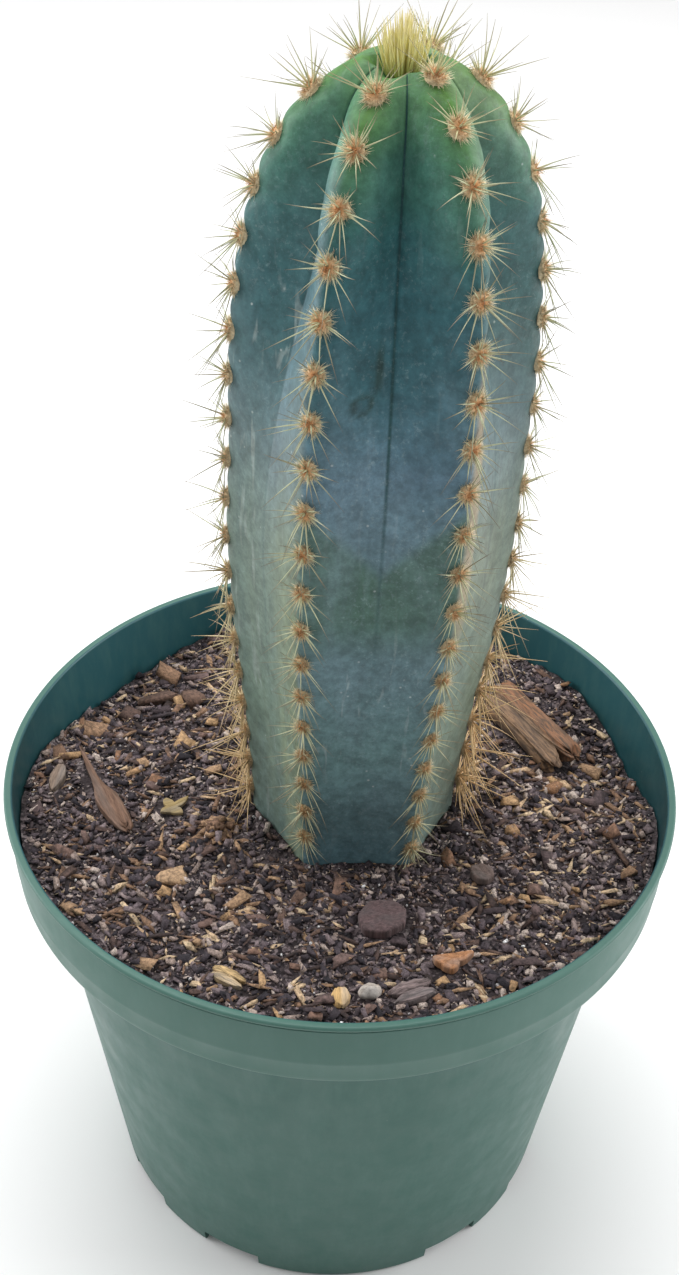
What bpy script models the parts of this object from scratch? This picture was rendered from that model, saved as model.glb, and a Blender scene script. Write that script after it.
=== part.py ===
"""A six-ribbed columnar cactus in a round plastic nursery pot of potting mix.

Lengths are metres. +Z is up, the pot's axis is Z, its feet stand on z = 0, and the side
that faces the viewer is -Y. Directions round the stem are angles from -Y towards +X.
"""

import math

import bmesh
import bpy
import numpy as np
from mathutils.bvhtree import BVHTree

MM = 0.001

# Pot: a 6 inch nursery pot, from its outline
RIM_RADIUS = 76.2 * MM
POT_HEIGHT = 120.0 * MM
LIP_HEIGHT = 1.3 * MM
LIP_WIDTH = 2.0 * MM
LIP_EDGE = 0.5 * MM
LIP_GROOVE = 0.5 * MM
COLLAR_TOP_RADIUS = 75.7 * MM
COLLAR_FOOT_RADIUS = 74.7 * MM
COLLAR_FOOT_Z = 102.6 * MM
BODY_TOP_RADIUS = 67.3 * MM
BODY_TOP_Z = 96.0 * MM
BODY_FOOT_RADIUS = 55.3 * MM
HEEL_RADIUS = 1.2 * MM
WALL = 1.6 * MM
FLOOR_UNDERSIDE_Z = 4.0 * MM
FLOOR_TOP_Z = 6.0 * MM
FOOT_RING_WIDTH = 5.4 * MM
POT_STEPS = 56
NOTCH_WIDTH = 15.0 * MM
NOTCH_HEIGHT = 4.3 * MM
NOTCH_PAIR_OFFSET = 15.3
NOTCH_TURN = 5.0
SLOT_OUTER_INSET = 6.0 * MM
SLOT_DEPTH = 6.5 * MM
CUTTER_SPARE = 2.0 * MM

# Potting mix: its level at the pot's axis, its rise towards the front, and its lumps
SOIL_LEVEL = 110.6 * MM
SOIL_RISE = 0.035
SOIL_LUMP = 0.55 * MM
SOIL_LUMP_LENGTH = 9.0 * MM
SOIL_DIPS = ((-125.0, 36.0, 6.5 * MM), (105.0, 21.0, 7.0 * MM))
DIP_START = 44.0 * MM
DIP_REACH = 27.0 * MM
WALL_RING_STEP = 0.7 * MM
SOIL_WALL_GAP = 0.45 * MM
SEAT_GAP = 0.35 * MM
SOIL_RINGS = (0.0, 0.07, 0.16, 0.28, 0.41, 0.55, 0.69, 0.82, 0.92, 1.0)

# Stem: heights are measured from the soil at its foot
STEM_FOOT = (3.0 * MM, -2.9 * MM)
STEM_SOIL_Z = 110.5 * MM
STEM_LEAN = (0.021, -0.004)
STEM_HEIGHT = 173.0 * MM
STEM_BURIED = 42.0 * MM
RIBS = 6
FIRST_RIB = -26.6
CREST_AT_SOIL = 22.9 * MM
CREST_AT_BELLY = 29.0 * MM
BELLY_HEIGHT = 80.0 * MM
CROWN_POWER = 4.1
LOW_RIB_DROP = 1.0 * MM
LOW_RIB_POWER = 1.1
ROOT_RADIUS = 19.0 * MM
ROOT_END_SHARE = 0.78
ROOT_RING_LIFTS = tuple(h * MM for h in (1.0, 5.0, 18.9, 33.6))
BELLY_RINGS = 15
MIDDLE_RIB = 3
CREST_STATIONS = 4000
SLOPE_STEP = 0.2 * MM
GROOVE_AT_SOIL = 0.87
GROOVE_FALL = (90.0 * MM, 148.0 * MM)
SHOULDER_HEIGHT = 115.0 * MM
GROOVE_AT_CROWN = 0.62
CROWN_HEIGHT = 156.0 * MM
GROOVE_AT_DIMPLE = 0.84
DIMPLE_RADIUS = 7.2 * MM
DIMPLE = ((0.72, 170.4), (0.6, 168.6))
DIMPLE_FLOOR = 168.2 * MM
CREST_ROUNDING = 0.26
GROOVE_ROUNDING = 0.05
RIB_COLUMNS = (0.0, 5.0, 12.5, 21.0, 30.0)

# Areoles and their spines
FIRST_AREOLES = tuple(s * MM for s in (11.1, 9.2, 14.2, 11.0, 14.5, 17.3))
AREOLE_PITCH = 9.7 * MM
PITCH_LOSS = 0.075 * MM
LOWEST_AREOLE = 4.0 * MM
CUSHION_SIDES = 8
CUSHION_GAP = 0.35 * MM
CUSHION_FOOT = 1.55 * MM
CUSHION_TOP = 0.85 * MM
CUSHION_HEIGHT = 0.9 * MM
CUSHION_CROWN = 1.15 * MM
SPINE_SECTOR = 28.0
SPINE_HALF_WIDTH = 0.66 * MM
SPINE_CLEARANCE = 0.15 * MM
SKIN_CLEARANCE = 0.4 * MM
GROUND_CLEARANCE = 1.2 * MM
TUFT_CLEARANCE = 1.6 * MM
TUFT_FLARE_DEPTH = 3.0 * MM
STUB_LENGTH = 1.6 * MM
SPINE_STATIONS = np.linspace(0.0, 1.0, 13)
FREE_STATION = 4
APART_STATION = 3
FELT_LINE_EDGES = (1, 5)
SIDE_SPINE_TILT = 62.0
SIDE_SPINE_LENGTHS = (6.2 * MM, 8.2 * MM)
CROWN_SPINE_TILTS = (14.0, 46.0)
CROWN_SPINE_LENGTHS = (8.0 * MM, 10.2 * MM)
BARE_CROWN_FACES = 3
YOUNG_AREOLES = 8.0
YOUNG_LENGTH = 0.8
SPINE_SPREAD = 6.0
SPREAD_STEP = 0.5
STEEPEST_TILT = 80.0
SPINE_LENGTH_SHARES = (0.82, 1.08)
SHORTENING_STEP = 0.006
SPINE_TRIES = 60
AREOLE_TRIES = 20
SPINE_SEED = 41

# Crown tuft
TUFT_SIDES = 10
TUFT_LIFT = 0.5 * MM
TUFT_LEAN_SPREAD = 3.0
TUFT_TURN_SPREAD = 5.0
TUFT_LENGTH_SHARES = (0.85, 1.1)
TUFT_RINGS = ((3.7, 0.0), (2.9, 1.3), (1.5, 2.0))
TUFT_TOP = 2.3 * MM
TUFT_SPINES = ((27.0, 8.0), (16.0, 8.4), (6.0, 8.0))
TUFT_FLARE = 0.55

# Loose pieces on the mix: name, shape, place x and y, length, width, thickness, turn
LOOSE_PIECES = (
    ("bark_slab", "slab", 45.0, 26.0, 31.0, 11.0, 4.6, -57.0, "bark"),
    ("bark_disc", "slab", 10.2, -41.5, 11.5, 10.5, 3.0, 10.0, "bark"),
    ("bark_splinter", "splinter", -55.5, -2.5, 31.0, 5.2, 2.4, -62.0, "bark"),
    ("chip_orange", "slab", 24.5, -52.5, 9.5, 5.0, 2.2, 20.0, "wood_chip"),
    ("chip_brown", "slab", 31.5, -26.5, 6.0, 5.0, 2.2, -30.0, "bark"),
    ("chip_yellow", "slab", 1.6, -63.2, 4.0, 4.6, 2.0, 5.0, "wood_chip"),
    ("chip_grey", "slab", 16.2, -61.0, 9.5, 5.2, 2.4, 24.0, "bark"),
    ("chip_tan", "slab", -21.5, -58.5, 8.0, 3.4, 1.8, -28.0, "wood_chip"),
    ("chip_pale", "slab", -66.0, 1.0, 8.5, 3.6, 2.0, 84.0, "wood_chip"),
    ("leaf_scrap", "leaf", -38.0, -7.5, 8.5, 5.0, 1.0, 35.0, "dry_leaf"),
    ("pebble", "pebble", 7.4, -61.6, 4.8, 3.8, 3.0, 15.0, "pale_stone"),
)
PIECE_SEED = 7
SLAB_FOOT = (0.86, 0.0)
SLAB_WAIST = (1.0, 0.35)
SLAB_TOP_ROUGHNESS = 0.18
SLAB_MIDDLE = 0.95
SPLINTER_SIDES = 6
SPLINTER_SHARES = (0.0, 0.12, 0.35, 0.6, 0.78, 0.93, 1.0)
SPLINTER_WIDTHS = (0.16, 0.24, 0.3, 0.55, 1.0, 0.86, 0.5)
SPLINTER_THIN_END = 0.45
SPLINTER_BEND = (0.9 * MM, 3.0)
SPLINTER_ENDS = (0.3 * MM, 0.6 * MM)
PEBBLE_SIDES = 9
PEBBLE_TILTS = (-58.0, -22.0, 15.0, 50.0)
PEBBLE_JITTER = 0.06
LEAF_CURL = 1.1 * MM

# Colour, roughness and metallic value of each material
MATERIALS = {
    "pot_plastic": ((0.11, 0.19, 0.155), 0.45, 0.0),
    "potting_mix": ((0.055, 0.038, 0.035), 0.95, 0.0),
    "stem_skin": ((0.085, 0.17, 0.175), 0.55, 0.0),
    "spines": ((0.42, 0.27, 0.12), 0.6, 0.0),
    "crown_spines": ((0.62, 0.58, 0.22), 0.55, 0.0),
    "bark": ((0.12, 0.07, 0.05), 0.9, 0.0),
    "wood_chip": ((0.36, 0.21, 0.1), 0.85, 0.0),
    "dry_leaf": ((0.34, 0.27, 0.1), 0.8, 0.0),
    "pale_stone": ((0.5, 0.44, 0.4), 0.8, 0.0),
}


def clear_scene():
    for old in list(bpy.data.objects):
        bpy.data.objects.remove(old)


def material(name):
    """The named material: a Principled BSDF with its plain colour."""
    made = bpy.data.materials.get(name)
    if made:
        return made
    colour, roughness, metallic = MATERIALS[name]
    made = bpy.data.materials.new(name)
    made.use_nodes = True
    shader = made.node_tree.nodes["Principled BSDF"]
    shader.inputs["Base Color"].default_value = (*colour, 1.0)
    shader.inputs["Roughness"].default_value = roughness
    shader.inputs["Metallic"].default_value = metallic
    return made


def add_mesh(name, points, faces, finish, sharp_angle=40.0):
    """An object of these faces, smooth shaded except across edges sharper than the angle."""
    mesh = bpy.data.meshes.new(name)
    mesh.from_pydata([tuple(p) for p in points], [], faces)
    shape = bmesh.new()
    shape.from_mesh(mesh)
    bmesh.ops.recalc_face_normals(shape, faces=shape.faces)
    shape.to_mesh(mesh)
    shape.free()
    mesh.shade_smooth()
    mesh.set_sharp_from_angle(angle=math.radians(sharp_angle))
    mesh.materials.append(material(finish))
    made = bpy.data.objects.new(name, mesh)
    bpy.context.scene.collection.objects.link(made)
    return made


def loft(rings, first_pole, last_pole):
    """Points and faces of a closed skin through the rings, with a fan to a pole at each end."""
    count = len(rings[0])
    points = [first_pole, *np.concatenate(rings), last_pole]
    last = len(points) - 1
    faces = []
    for j in range(count):
        k = (j + 1) % count
        faces.append((0, 1 + k, 1 + j))
        for i in range(len(rings) - 1):
            low = 1 + i * count
            faces.append((low + j, low + k, low + count + k, low + count + j))
        low = 1 + (len(rings) - 1) * count
        faces.append((low + j, low + k, last))
    return points, faces


def smooth(t):
    """Rises from 0 to 1 with level ends."""
    t = np.clip(t, 0.0, 1.0)
    return t * t * (3.0 - 2.0 * t)


def heading(degrees):
    """Unit vector at this angle from -Y towards +X."""
    angle = np.radians(degrees)
    return np.stack([np.sin(angle), -np.cos(angle), np.zeros_like(angle)], axis=-1)


def pot_outside(z):
    """The pot's outer radius at a height between its heel and its lip."""
    body = np.interp(z, [HEEL_RADIUS, BODY_TOP_Z], [BODY_FOOT_RADIUS, BODY_TOP_RADIUS])
    collar_top = POT_HEIGHT - LIP_HEIGHT
    collar = np.interp(z, [COLLAR_FOOT_Z, collar_top], [COLLAR_FOOT_RADIUS, COLLAR_TOP_RADIUS])
    share = smooth((z - BODY_TOP_Z) / (COLLAR_FOOT_Z - BODY_TOP_Z))
    return body + (collar - body) * share


def pot_inside(z):
    return pot_outside(z) - WALL


def shoulder_heights():
    """Heights where the pot's section bends, from the body's top to the collar's foot."""
    return np.linspace(BODY_TOP_Z, COLLAR_FOOT_Z, 5)


def wall_radius(z):
    """Radius of the pot's inner wall as its section draws it, straight from bend to bend."""
    shoulder = shoulder_heights()
    bends = [FLOOR_TOP_Z, *shoulder, POT_HEIGHT - LIP_EDGE]
    radii = [pot_inside(FLOOR_TOP_Z), *pot_inside(shoulder), RIM_RADIUS - LIP_WIDTH]
    return np.interp(z, bends, radii)


def pot_profile():
    """Half section of the pot: inner floor, inner wall, lip, outer wall, heel and foot ring."""
    shoulder = shoulder_heights()
    lip_inside = RIM_RADIUS - LIP_WIDTH
    lip_foot_z = POT_HEIGHT - LIP_HEIGHT
    collar_top_z = lip_foot_z - LIP_GROOVE
    groove_floor = COLLAR_TOP_RADIUS - LIP_GROOVE
    profile = [(0.0, FLOOR_TOP_Z), (pot_inside(FLOOR_TOP_Z), FLOOR_TOP_Z)]
    profile += [(pot_inside(z), z) for z in shoulder]
    profile += [(lip_inside, POT_HEIGHT - LIP_EDGE), (lip_inside + LIP_EDGE, POT_HEIGHT)]
    profile += [(RIM_RADIUS - LIP_EDGE, POT_HEIGHT), (RIM_RADIUS, POT_HEIGHT - LIP_EDGE)]
    profile += [(RIM_RADIUS, lip_foot_z), (groove_floor, lip_foot_z)]
    profile += [(groove_floor, collar_top_z), (COLLAR_TOP_RADIUS, collar_top_z)]
    profile += [(pot_outside(z), z) for z in reversed(shoulder)]
    for turn in np.radians([0.0, 45.0, 90.0]):
        radius = BODY_FOOT_RADIUS - HEEL_RADIUS * (1.0 - math.cos(turn))
        profile.append((radius, HEEL_RADIUS * (1.0 - math.sin(turn))))
    ring_inside = BODY_FOOT_RADIUS - HEEL_RADIUS - FOOT_RING_WIDTH
    profile += [(ring_inside, 0.0), (ring_inside, FLOOR_UNDERSIDE_Z), (0.0, FLOOR_UNDERSIDE_Z)]
    return profile


def notch_cutter():
    """Eight prisms, in four pairs, that cut the drain slots through the foot ring and floor."""
    slot_outer = BODY_FOOT_RADIUS - SLOT_OUTER_INSET
    slot_inner = slot_outer - SLOT_DEPTH
    past_wall = BODY_FOOT_RADIUS + 2.0 * CUTTER_SPARE
    section = [
        (slot_inner, -CUTTER_SPARE),
        (past_wall, -CUTTER_SPARE),
        (past_wall, NOTCH_HEIGHT),
        (slot_outer, NOTCH_HEIGHT),
        (slot_outer, FLOOR_TOP_Z + CUTTER_SPARE),
        (slot_inner, FLOOR_TOP_Z + CUTTER_SPARE),
    ]
    count = len(section)
    points, faces = [], []
    for quarter in range(4):
        for side in (-1.0, 1.0):
            angle = 45.0 + 90.0 * quarter + NOTCH_TURN + side * NOTCH_PAIR_OFFSET
            out, along = heading(angle), heading(angle + 90.0)
            start = len(points)
            for shift in (-0.5 * NOTCH_WIDTH, 0.5 * NOTCH_WIDTH):
                points += [r * out + shift * along + np.array([0, 0, z]) for r, z in section]
            faces.append(tuple(start + i for i in range(count)))
            faces.append(tuple(start + count + i for i in reversed(range(count))))
            for i in range(count):
                k = (i + 1) % count
                faces.append((start + i, start + count + i, start + count + k, start + k))
    cutter = add_mesh("notch_cutter", points, faces, "pot_plastic")
    cutter.hide_render = True
    cutter.display_type = "WIRE"
    return cutter


def make_pot():
    """The pot: its half section turned by a Screw, then the drain slots cut."""
    profile = pot_profile()
    mesh = bpy.data.meshes.new("pot")
    mesh.from_pydata([(r, 0.0, z) for r, z in profile], [(i, i + 1) for i in range(len(profile) - 1)], [])
    mesh.materials.append(material("pot_plastic"))
    pot = bpy.data.objects.new("pot", mesh)
    bpy.context.scene.collection.objects.link(pot)
    turn = pot.modifiers.new("turn", "SCREW")
    turn.steps = POT_STEPS
    turn.render_steps = POT_STEPS
    turn.use_merge_vertices = True
    turn.merge_threshold = 0.01 * MM
    slots = pot.modifiers.new("drain_slots", "BOOLEAN")
    slots.operation = "DIFFERENCE"
    slots.object = notch_cutter()


def crown_shape(angles):
    """Height and power of the crown in each direction: the first rib is lower and rounder."""
    away = np.abs((angles - FIRST_RIB + 180.0) % 360.0 - 180.0) * RIBS / 360.0
    low = 1.0 - smooth(away)
    return STEM_HEIGHT - LOW_RIB_DROP * low, CROWN_POWER - LOW_RIB_POWER * low


def dimple_edge(angles):
    """Height at which the crown has closed to the dimple's radius."""
    top, power = crown_shape(angles)
    share = (DIMPLE_RADIUS / CREST_AT_BELLY) ** 2
    return BELLY_HEIGHT + (top - BELLY_HEIGHT) * (1.0 - share) ** (1.0 / power)


def crest_radius(height, angles):
    """Radius of the ribs' crests: swelling to the belly, then closing as a blunt crown."""
    top, power = crown_shape(angles)
    lower = CREST_AT_SOIL + (CREST_AT_BELLY - CREST_AT_SOIL) * smooth(height / BELLY_HEIGHT)
    rise = np.clip((height - BELLY_HEIGHT) / (top - BELLY_HEIGHT), 0.0, 1.0)
    upper = CREST_AT_BELLY * np.sqrt(1.0 - rise**power)
    depth = np.clip(-height / STEM_BURIED, 0.0, 1.0)
    root = (CREST_AT_SOIL - ROOT_RADIUS) * depth
    return np.where(height > BELLY_HEIGHT, upper, lower) - root


def groove_share(height, top):
    """The grooves' radius as a share of the crests': a line on the lower body, deep above it."""
    fall = smooth((height - GROOVE_FALL[0]) / (GROOVE_FALL[1] - GROOVE_FALL[0]))
    end = smooth((height - CROWN_HEIGHT) / (top - CROWN_HEIGHT))
    share = GROOVE_AT_SOIL + (GROOVE_AT_CROWN - GROOVE_AT_SOIL) * fall
    return share + (GROOVE_AT_DIMPLE - GROOVE_AT_CROWN) * end


def soften(t, width):
    """0 to 1 as t goes 0 to 1, with the corner at 0 rounded over about this width."""
    return (np.sqrt(t * t + width * width) - width) / (math.sqrt(1.0 + width * width) - width)


def section_radius(angles, height):
    """Radius at angles in degrees: straight flanks from crest to groove, with both rounded."""
    half = 180.0 / RIBS
    from_crest = np.abs((angles - FIRST_RIB + half) % (2.0 * half) - half) / half
    across = 1.0 - soften(1.0 - soften(from_crest, CREST_ROUNDING), GROOVE_ROUNDING)
    crest = np.maximum(crest_radius(height, angles), 0.1 * MM)
    groove = crest * groove_share(height, crown_shape(angles)[0])
    turn = math.radians(half)
    chord = crest * np.sin(turn * across) + groove * np.sin(turn * (1.0 - across))
    return crest * groove * math.sin(turn) / chord


def stem_centre(height):
    """The stem's axis at heights above the soil: it leans a little to the side."""
    height = np.asarray(height, float)
    x = STEM_FOOT[0] + STEM_LEAN[0] * height
    y = STEM_FOOT[1] + STEM_LEAN[1] * height
    return np.stack([x, y, STEM_SOIL_Z + height], axis=-1)


def column_angles():
    """Angles round the stem: closer together at each crest."""
    offsets = [-a for a in RIB_COLUMNS[3:0:-1]] + list(RIB_COLUMNS)
    step = 360.0 / RIBS
    return np.array([FIRST_RIB + step * rib + a for rib in range(RIBS) for a in offsets])


def stem_ring(height, margin=0.0):
    """One ring of the stem's skin, at a height or at a height for each column."""
    angles = column_angles()
    radius = section_radius(angles, height) + margin
    return stem_centre(height) + radius[:, None] * heading(angles)


def root_heights():
    """Ring heights of the buried foot, from just above its end to just under the soil."""
    return [lift - STEM_BURIED for lift in ROOT_RING_LIFTS]


def crown_heights():
    """Ring heights for each column, from the shoulder to the dimple's edge, closer at the top."""
    heights, lengths = crest_line(MIDDLE_RIB)
    edge = dimple_edge(rib_angle(MIDDLE_RIB))
    start = np.interp(SHOULDER_HEIGHT, heights[::-1], lengths[::-1])
    stop = np.interp(edge, heights[::-1], lengths[::-1])
    steps = np.linspace(0.0, 1.0, BELLY_RINGS)[1:]
    shares = np.interp(start + (stop - start) * steps, lengths, heights) - SHOULDER_HEIGHT
    shares = shares / (edge - SHOULDER_HEIGHT)
    edges = dimple_edge(column_angles())
    return [SHOULDER_HEIGHT + (edges - SHOULDER_HEIGHT) * share for share in shares]


def make_stem():
    """The whole stem as one skin of rings, from its rounded root to the crown's dimple."""
    below = root_heights()
    belly = list(np.linspace(0.0, SHOULDER_HEIGHT, BELLY_RINGS))
    rings = [stem_ring(h) for h in below + belly + crown_heights()]
    centre = stem_centre(below[0])
    rings[0] = centre + ROOT_END_SHARE * (rings[0] - centre)
    for share, height in DIMPLE:
        edge = DIMPLE_RADIUS * share * heading(column_angles())
        rings.append(stem_centre(height * MM) + edge)
    points, faces = loft(rings, stem_centre(-STEM_BURIED), stem_centre(DIMPLE_FLOOR))
    add_mesh("stem", points, faces, "stem_skin", 60.0)


def piece_mask(x, y):
    """0 under a loose piece and 1 clear of it, so that each lies on a level bed."""
    mask = np.ones_like(x)
    for _, _, px, py, length, width, _, _, _ in LOOSE_PIECES:
        away = np.hypot(x - px * MM, y - py * MM) / (0.5 * (length + width) * MM)
        mask = mask * smooth(away - 0.4)
    return mask


def soil_dip(x, y):
    """How far the mix has sunk along the pot's wall, at the back left and at the right."""
    bearings = np.degrees(np.arctan2(x, -y))
    dip = 0.0
    for middle, half_width, depth in SOIL_DIPS:
        away = np.abs((bearings - middle + 180.0) % 360.0 - 180.0)
        dip = dip + depth * (1.0 - smooth(away / half_width))
    return dip * smooth((np.hypot(x, y) - DIP_START) / DIP_REACH)


def soil_height(x, y):
    """Top of the mix: a plane that rises towards the front, with lumps of crossed waves, and
    sunk places along the wall."""
    x, y = np.asarray(x, float), np.asarray(y, float)
    k = 2.0 * math.pi / SOIL_LUMP_LENGTH
    lumps = np.sin(k * x + 1.3 * np.sin(0.6 * k * y)) * np.cos(0.9 * k * y + 0.8)
    lumps = lumps + 0.6 * np.sin(0.45 * k * (x + y) + 2.0) * np.cos(0.5 * k * (x - y))
    level = SOIL_LEVEL - SOIL_RISE * y + SOIL_LUMP * lumps * piece_mask(x, y)
    return level - soil_dip(x, y)


def make_soil():
    """The mix: up the stem's hole, out over the lumpy top, and down inside the pot."""
    rings = [stem_ring(height, SEAT_GAP) for height in root_heights()]
    inner = stem_ring(0.0, SEAT_GAP)
    angles = column_angles()
    rim = (pot_inside(SOIL_LEVEL) - SOIL_WALL_GAP) * heading(angles)
    edge = soil_height(rim[:, 0], rim[:, 1])
    rim = (wall_radius(edge) - SOIL_WALL_GAP)[:, None] * heading(angles)
    for share in SOIL_RINGS:
        ring = inner * (1.0 - share) + rim * share
        ring[:, 2] = soil_height(ring[:, 0], ring[:, 1])
        rings.append(ring)
    low = FLOOR_TOP_Z + SEAT_GAP
    for rank, z in enumerate([*reversed(shoulder_heights()), low], 1):
        levels = np.minimum(z, edge - rank * WALL_RING_STEP)
        ring = (wall_radius(levels) - SOIL_WALL_GAP)[:, None] * heading(angles)
        ring[:, 2] = levels
        rings.append(ring)
    hole_pole = stem_centre(-STEM_BURIED - SEAT_GAP)
    points, faces = loft(rings, hole_pole, np.array([0.0, 0.0, low]))
    add_mesh("soil", points, faces, "potting_mix")


def rib_angle(rib):
    return FIRST_RIB + 360.0 / RIBS * rib


def crest_line(rib):
    """Heights down a rib's crest from the apex, and the length along it to each."""
    angle = rib_angle(rib)
    heights = np.linspace(crown_shape(angle)[0], 0.0, CREST_STATIONS)
    radii = crest_radius(heights, angle)
    steps = np.hypot(np.diff(heights), np.diff(radii))
    return heights, np.concatenate([[0.0], np.cumsum(steps)])


def areole_heights(rib):
    """Heights of one rib's areoles, from the crown down, at a slowly shortening pitch."""
    heights, lengths = crest_line(rib)
    found, place, pitch = [], FIRST_AREOLES[rib], AREOLE_PITCH
    while True:
        height = float(np.interp(place, lengths, heights))
        if height < LOWEST_AREOLE:
            return found
        found.append(height)
        place += pitch
        pitch -= PITCH_LOSS


def areole_frame(rib, height):
    """Seat of an areole on the crest, with its outward, upward and sideways directions."""
    angle = rib_angle(rib)
    out = heading(angle)
    side = heading(angle + 90.0)
    high, low = height + SLOPE_STEP, height - SLOPE_STEP
    above = stem_centre(high) + crest_radius(high, angle) * out
    below = stem_centre(low) + crest_radius(low, angle) * out
    up = (above - below) / np.linalg.norm(above - below)
    seat = stem_centre(height) + crest_radius(height, angle) * out
    normal = np.cross(side, up)
    normal *= np.sign(normal @ out + 1e-9 * normal[2])
    return seat, normal, up, side


def stem_axis_distance(points):
    """How far points lie from the stem's axis, and their heights above the soil."""
    heights = points[:, 2] - STEM_SOIL_Z
    axis = stem_centre(heights)
    return np.linalg.norm(points[:, :2] - axis[:, :2], axis=1), heights


def in_sector(tip, rib):
    """Whether a spine's tip stays within its own rib's share of the circle."""
    centre = stem_centre(tip[2] - STEM_SOIL_Z)
    bearing = math.degrees(math.atan2(tip[0] - centre[0], -(tip[1] - centre[1])))
    off = (bearing - rib_angle(rib) + 180.0) % 360.0 - 180.0
    return abs(off) <= SPINE_SECTOR


def clear_of_stem(points):
    """Whether points stay off the stem's skin and outside the crown tuft's flare."""
    radii, heights = stem_axis_distance(points)
    centres = stem_centre(heights)
    bearings = np.degrees(np.arctan2(points[:, 0] - centres[:, 0], centres[:, 1] - points[:, 1]))
    skin = section_radius(bearings, np.minimum(heights, STEM_HEIGHT)) + SKIN_CLEARANCE
    flare = TUFT_RINGS[0][0] * MM + TUFT_CLEARANCE + TUFT_FLARE * (heights - STEM_HEIGHT)
    near_tuft = heights > STEM_HEIGHT - TUFT_FLARE_DEPTH
    return bool((radii > skin).all() and (radii > np.where(near_tuft, flare, 0.0)).all())


def clear_of_ground(points):
    """Whether points stay above the mix and above each loose piece that they pass over."""
    if (points[:, 2] < soil_height(points[:, 0], points[:, 1]) + GROUND_CLEARANCE).any():
        return False
    for _, _, px, py, length, width, thick, _, _ in LOOSE_PIECES:
        x, y = px * MM, py * MM
        near = np.hypot(points[:, 0] - x, points[:, 1] - y) < 0.6 * max(length, width) * MM
        top = soil_height(x, y) + thick * MM + 2.0 * GROUND_CLEARANCE
        if (points[near, 2] < top).any():
            return False
    return True


def clear_of_spines(line, others, start):
    """Whether a spine keeps off other spines, each as wide as its pyramid is there."""
    half_width = SPINE_HALF_WIDTH * (1.0 - SPINE_STATIONS[start:])
    room = half_width[:, None] + half_width[None, :] + SPINE_CLEARANCE
    for other in others:
        gaps = np.linalg.norm(line[start:, None] - other[None, start:], axis=-1)
        if (gaps < room).any():
            return False
    return True


def spine_line(base, tip):
    return base + SPINE_STATIONS[:, None] * (tip - base)


def draw_spine(base, aim, length, rib, frame, draws, taken, own):
    """A tip for the spine: the first seeded draw near its aim that fits, or a short stub."""
    _, normal, up, side = frame
    tilt, roll = aim
    for attempt in range(SPINE_TRIES):
        spread = SPINE_SPREAD + SPREAD_STEP * attempt
        leaning = tilt + draws.uniform(-spread, spread)
        t = math.radians(min(max(leaning, 0.0), STEEPEST_TILT))
        r = math.radians(roll + draws.uniform(-spread, spread))
        flat = math.cos(r) * side + math.sin(r) * up
        way = math.cos(t) * normal + math.sin(t) * flat
        reach = length * draws.uniform(*SPINE_LENGTH_SHARES) * (1.0 - SHORTENING_STEP * attempt)
        tip = base + way * reach
        line = spine_line(base, tip)
        free = line[FREE_STATION:]
        if not (in_sector(tip, rib) and clear_of_stem(free) and clear_of_ground(free)):
            continue
        if clear_of_spines(line, taken, 0) and clear_of_spines(line, own, APART_STATION):
            return tip
    return base + normal * STUB_LENGTH


def spined_face(points, faces, corners, tip):
    """Raises a face to a spine: its corners all meet at the tip."""
    points.append(tip)
    for i, corner in enumerate(corners):
        faces.append((corner, corners[(i + 1) % len(corners)], len(points) - 1))


def add_cushion(points, seat, normal, up, side):
    """An eight-sided cushion: its foot ring, its top ring and the middle of its crown."""
    first = len(points)
    turns = np.radians(360.0 / CUSHION_SIDES * (0.5 + np.arange(CUSHION_SIDES)))
    base = seat + CUSHION_GAP * normal
    for radius, lift in ((CUSHION_FOOT, 0.0), (CUSHION_TOP, CUSHION_HEIGHT)):
        for turn in turns:
            flat = math.cos(turn) * side + math.sin(turn) * up
            points.append(base + radius * flat + lift * normal)
    points.append(base + CUSHION_CROWN * normal)
    return first


def add_spines(points, faces, first, frame, rib, rank, draws, taken):
    """Six spines round the cushion's side and five on its crown. Returns their lines."""
    foot = first + np.arange(CUSHION_SIDES)
    top = foot + CUSHION_SIDES
    crown = first + 2 * CUSHION_SIDES
    edge_turn = 360.0 / CUSHION_SIDES
    own = []
    young = YOUNG_LENGTH + (1.0 - YOUNG_LENGTH) * smooth(rank / YOUNG_AREOLES)

    def raise_spine(corners, tilt, roll, length):
        base = np.mean([points[c] for c in corners], axis=0)
        tip = draw_spine(base, (tilt, roll), length * young, rib, frame, draws, taken, own)
        spined_face(points, faces, corners, tip)
        own.append(spine_line(base, tip))

    for edge in range(CUSHION_SIDES):
        if edge in FELT_LINE_EDGES:
            continue
        after = (edge + 1) % CUSHION_SIDES
        corners = [int(c) for c in (foot[edge], foot[after], top[after], top[edge])]
        length = draws.uniform(*SIDE_SPINE_LENGTHS)
        raise_spine(corners, SIDE_SPINE_TILT, edge_turn * (edge + 1), length)
    bare = set(draws.choice(CUSHION_SIDES, BARE_CROWN_FACES, replace=False).tolist())
    for edge in range(CUSHION_SIDES):
        corners = [int(c) for c in (top[edge], top[(edge + 1) % CUSHION_SIDES], crown)]
        if edge in bare:
            faces.append(tuple(corners))
            continue
        length = draws.uniform(*CROWN_SPINE_LENGTHS)
        raise_spine(corners, draws.uniform(*CROWN_SPINE_TILTS), edge_turn * (edge + 1), length)
    return own


def faces_cross(points, faces):
    """Whether any two of the faces that share no corner run through each other."""
    tree = BVHTree.FromPolygons([tuple(p) for p in points], faces)
    return any(not set(faces[a]) & set(faces[b]) for a, b in tree.overlap(tree))


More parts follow.
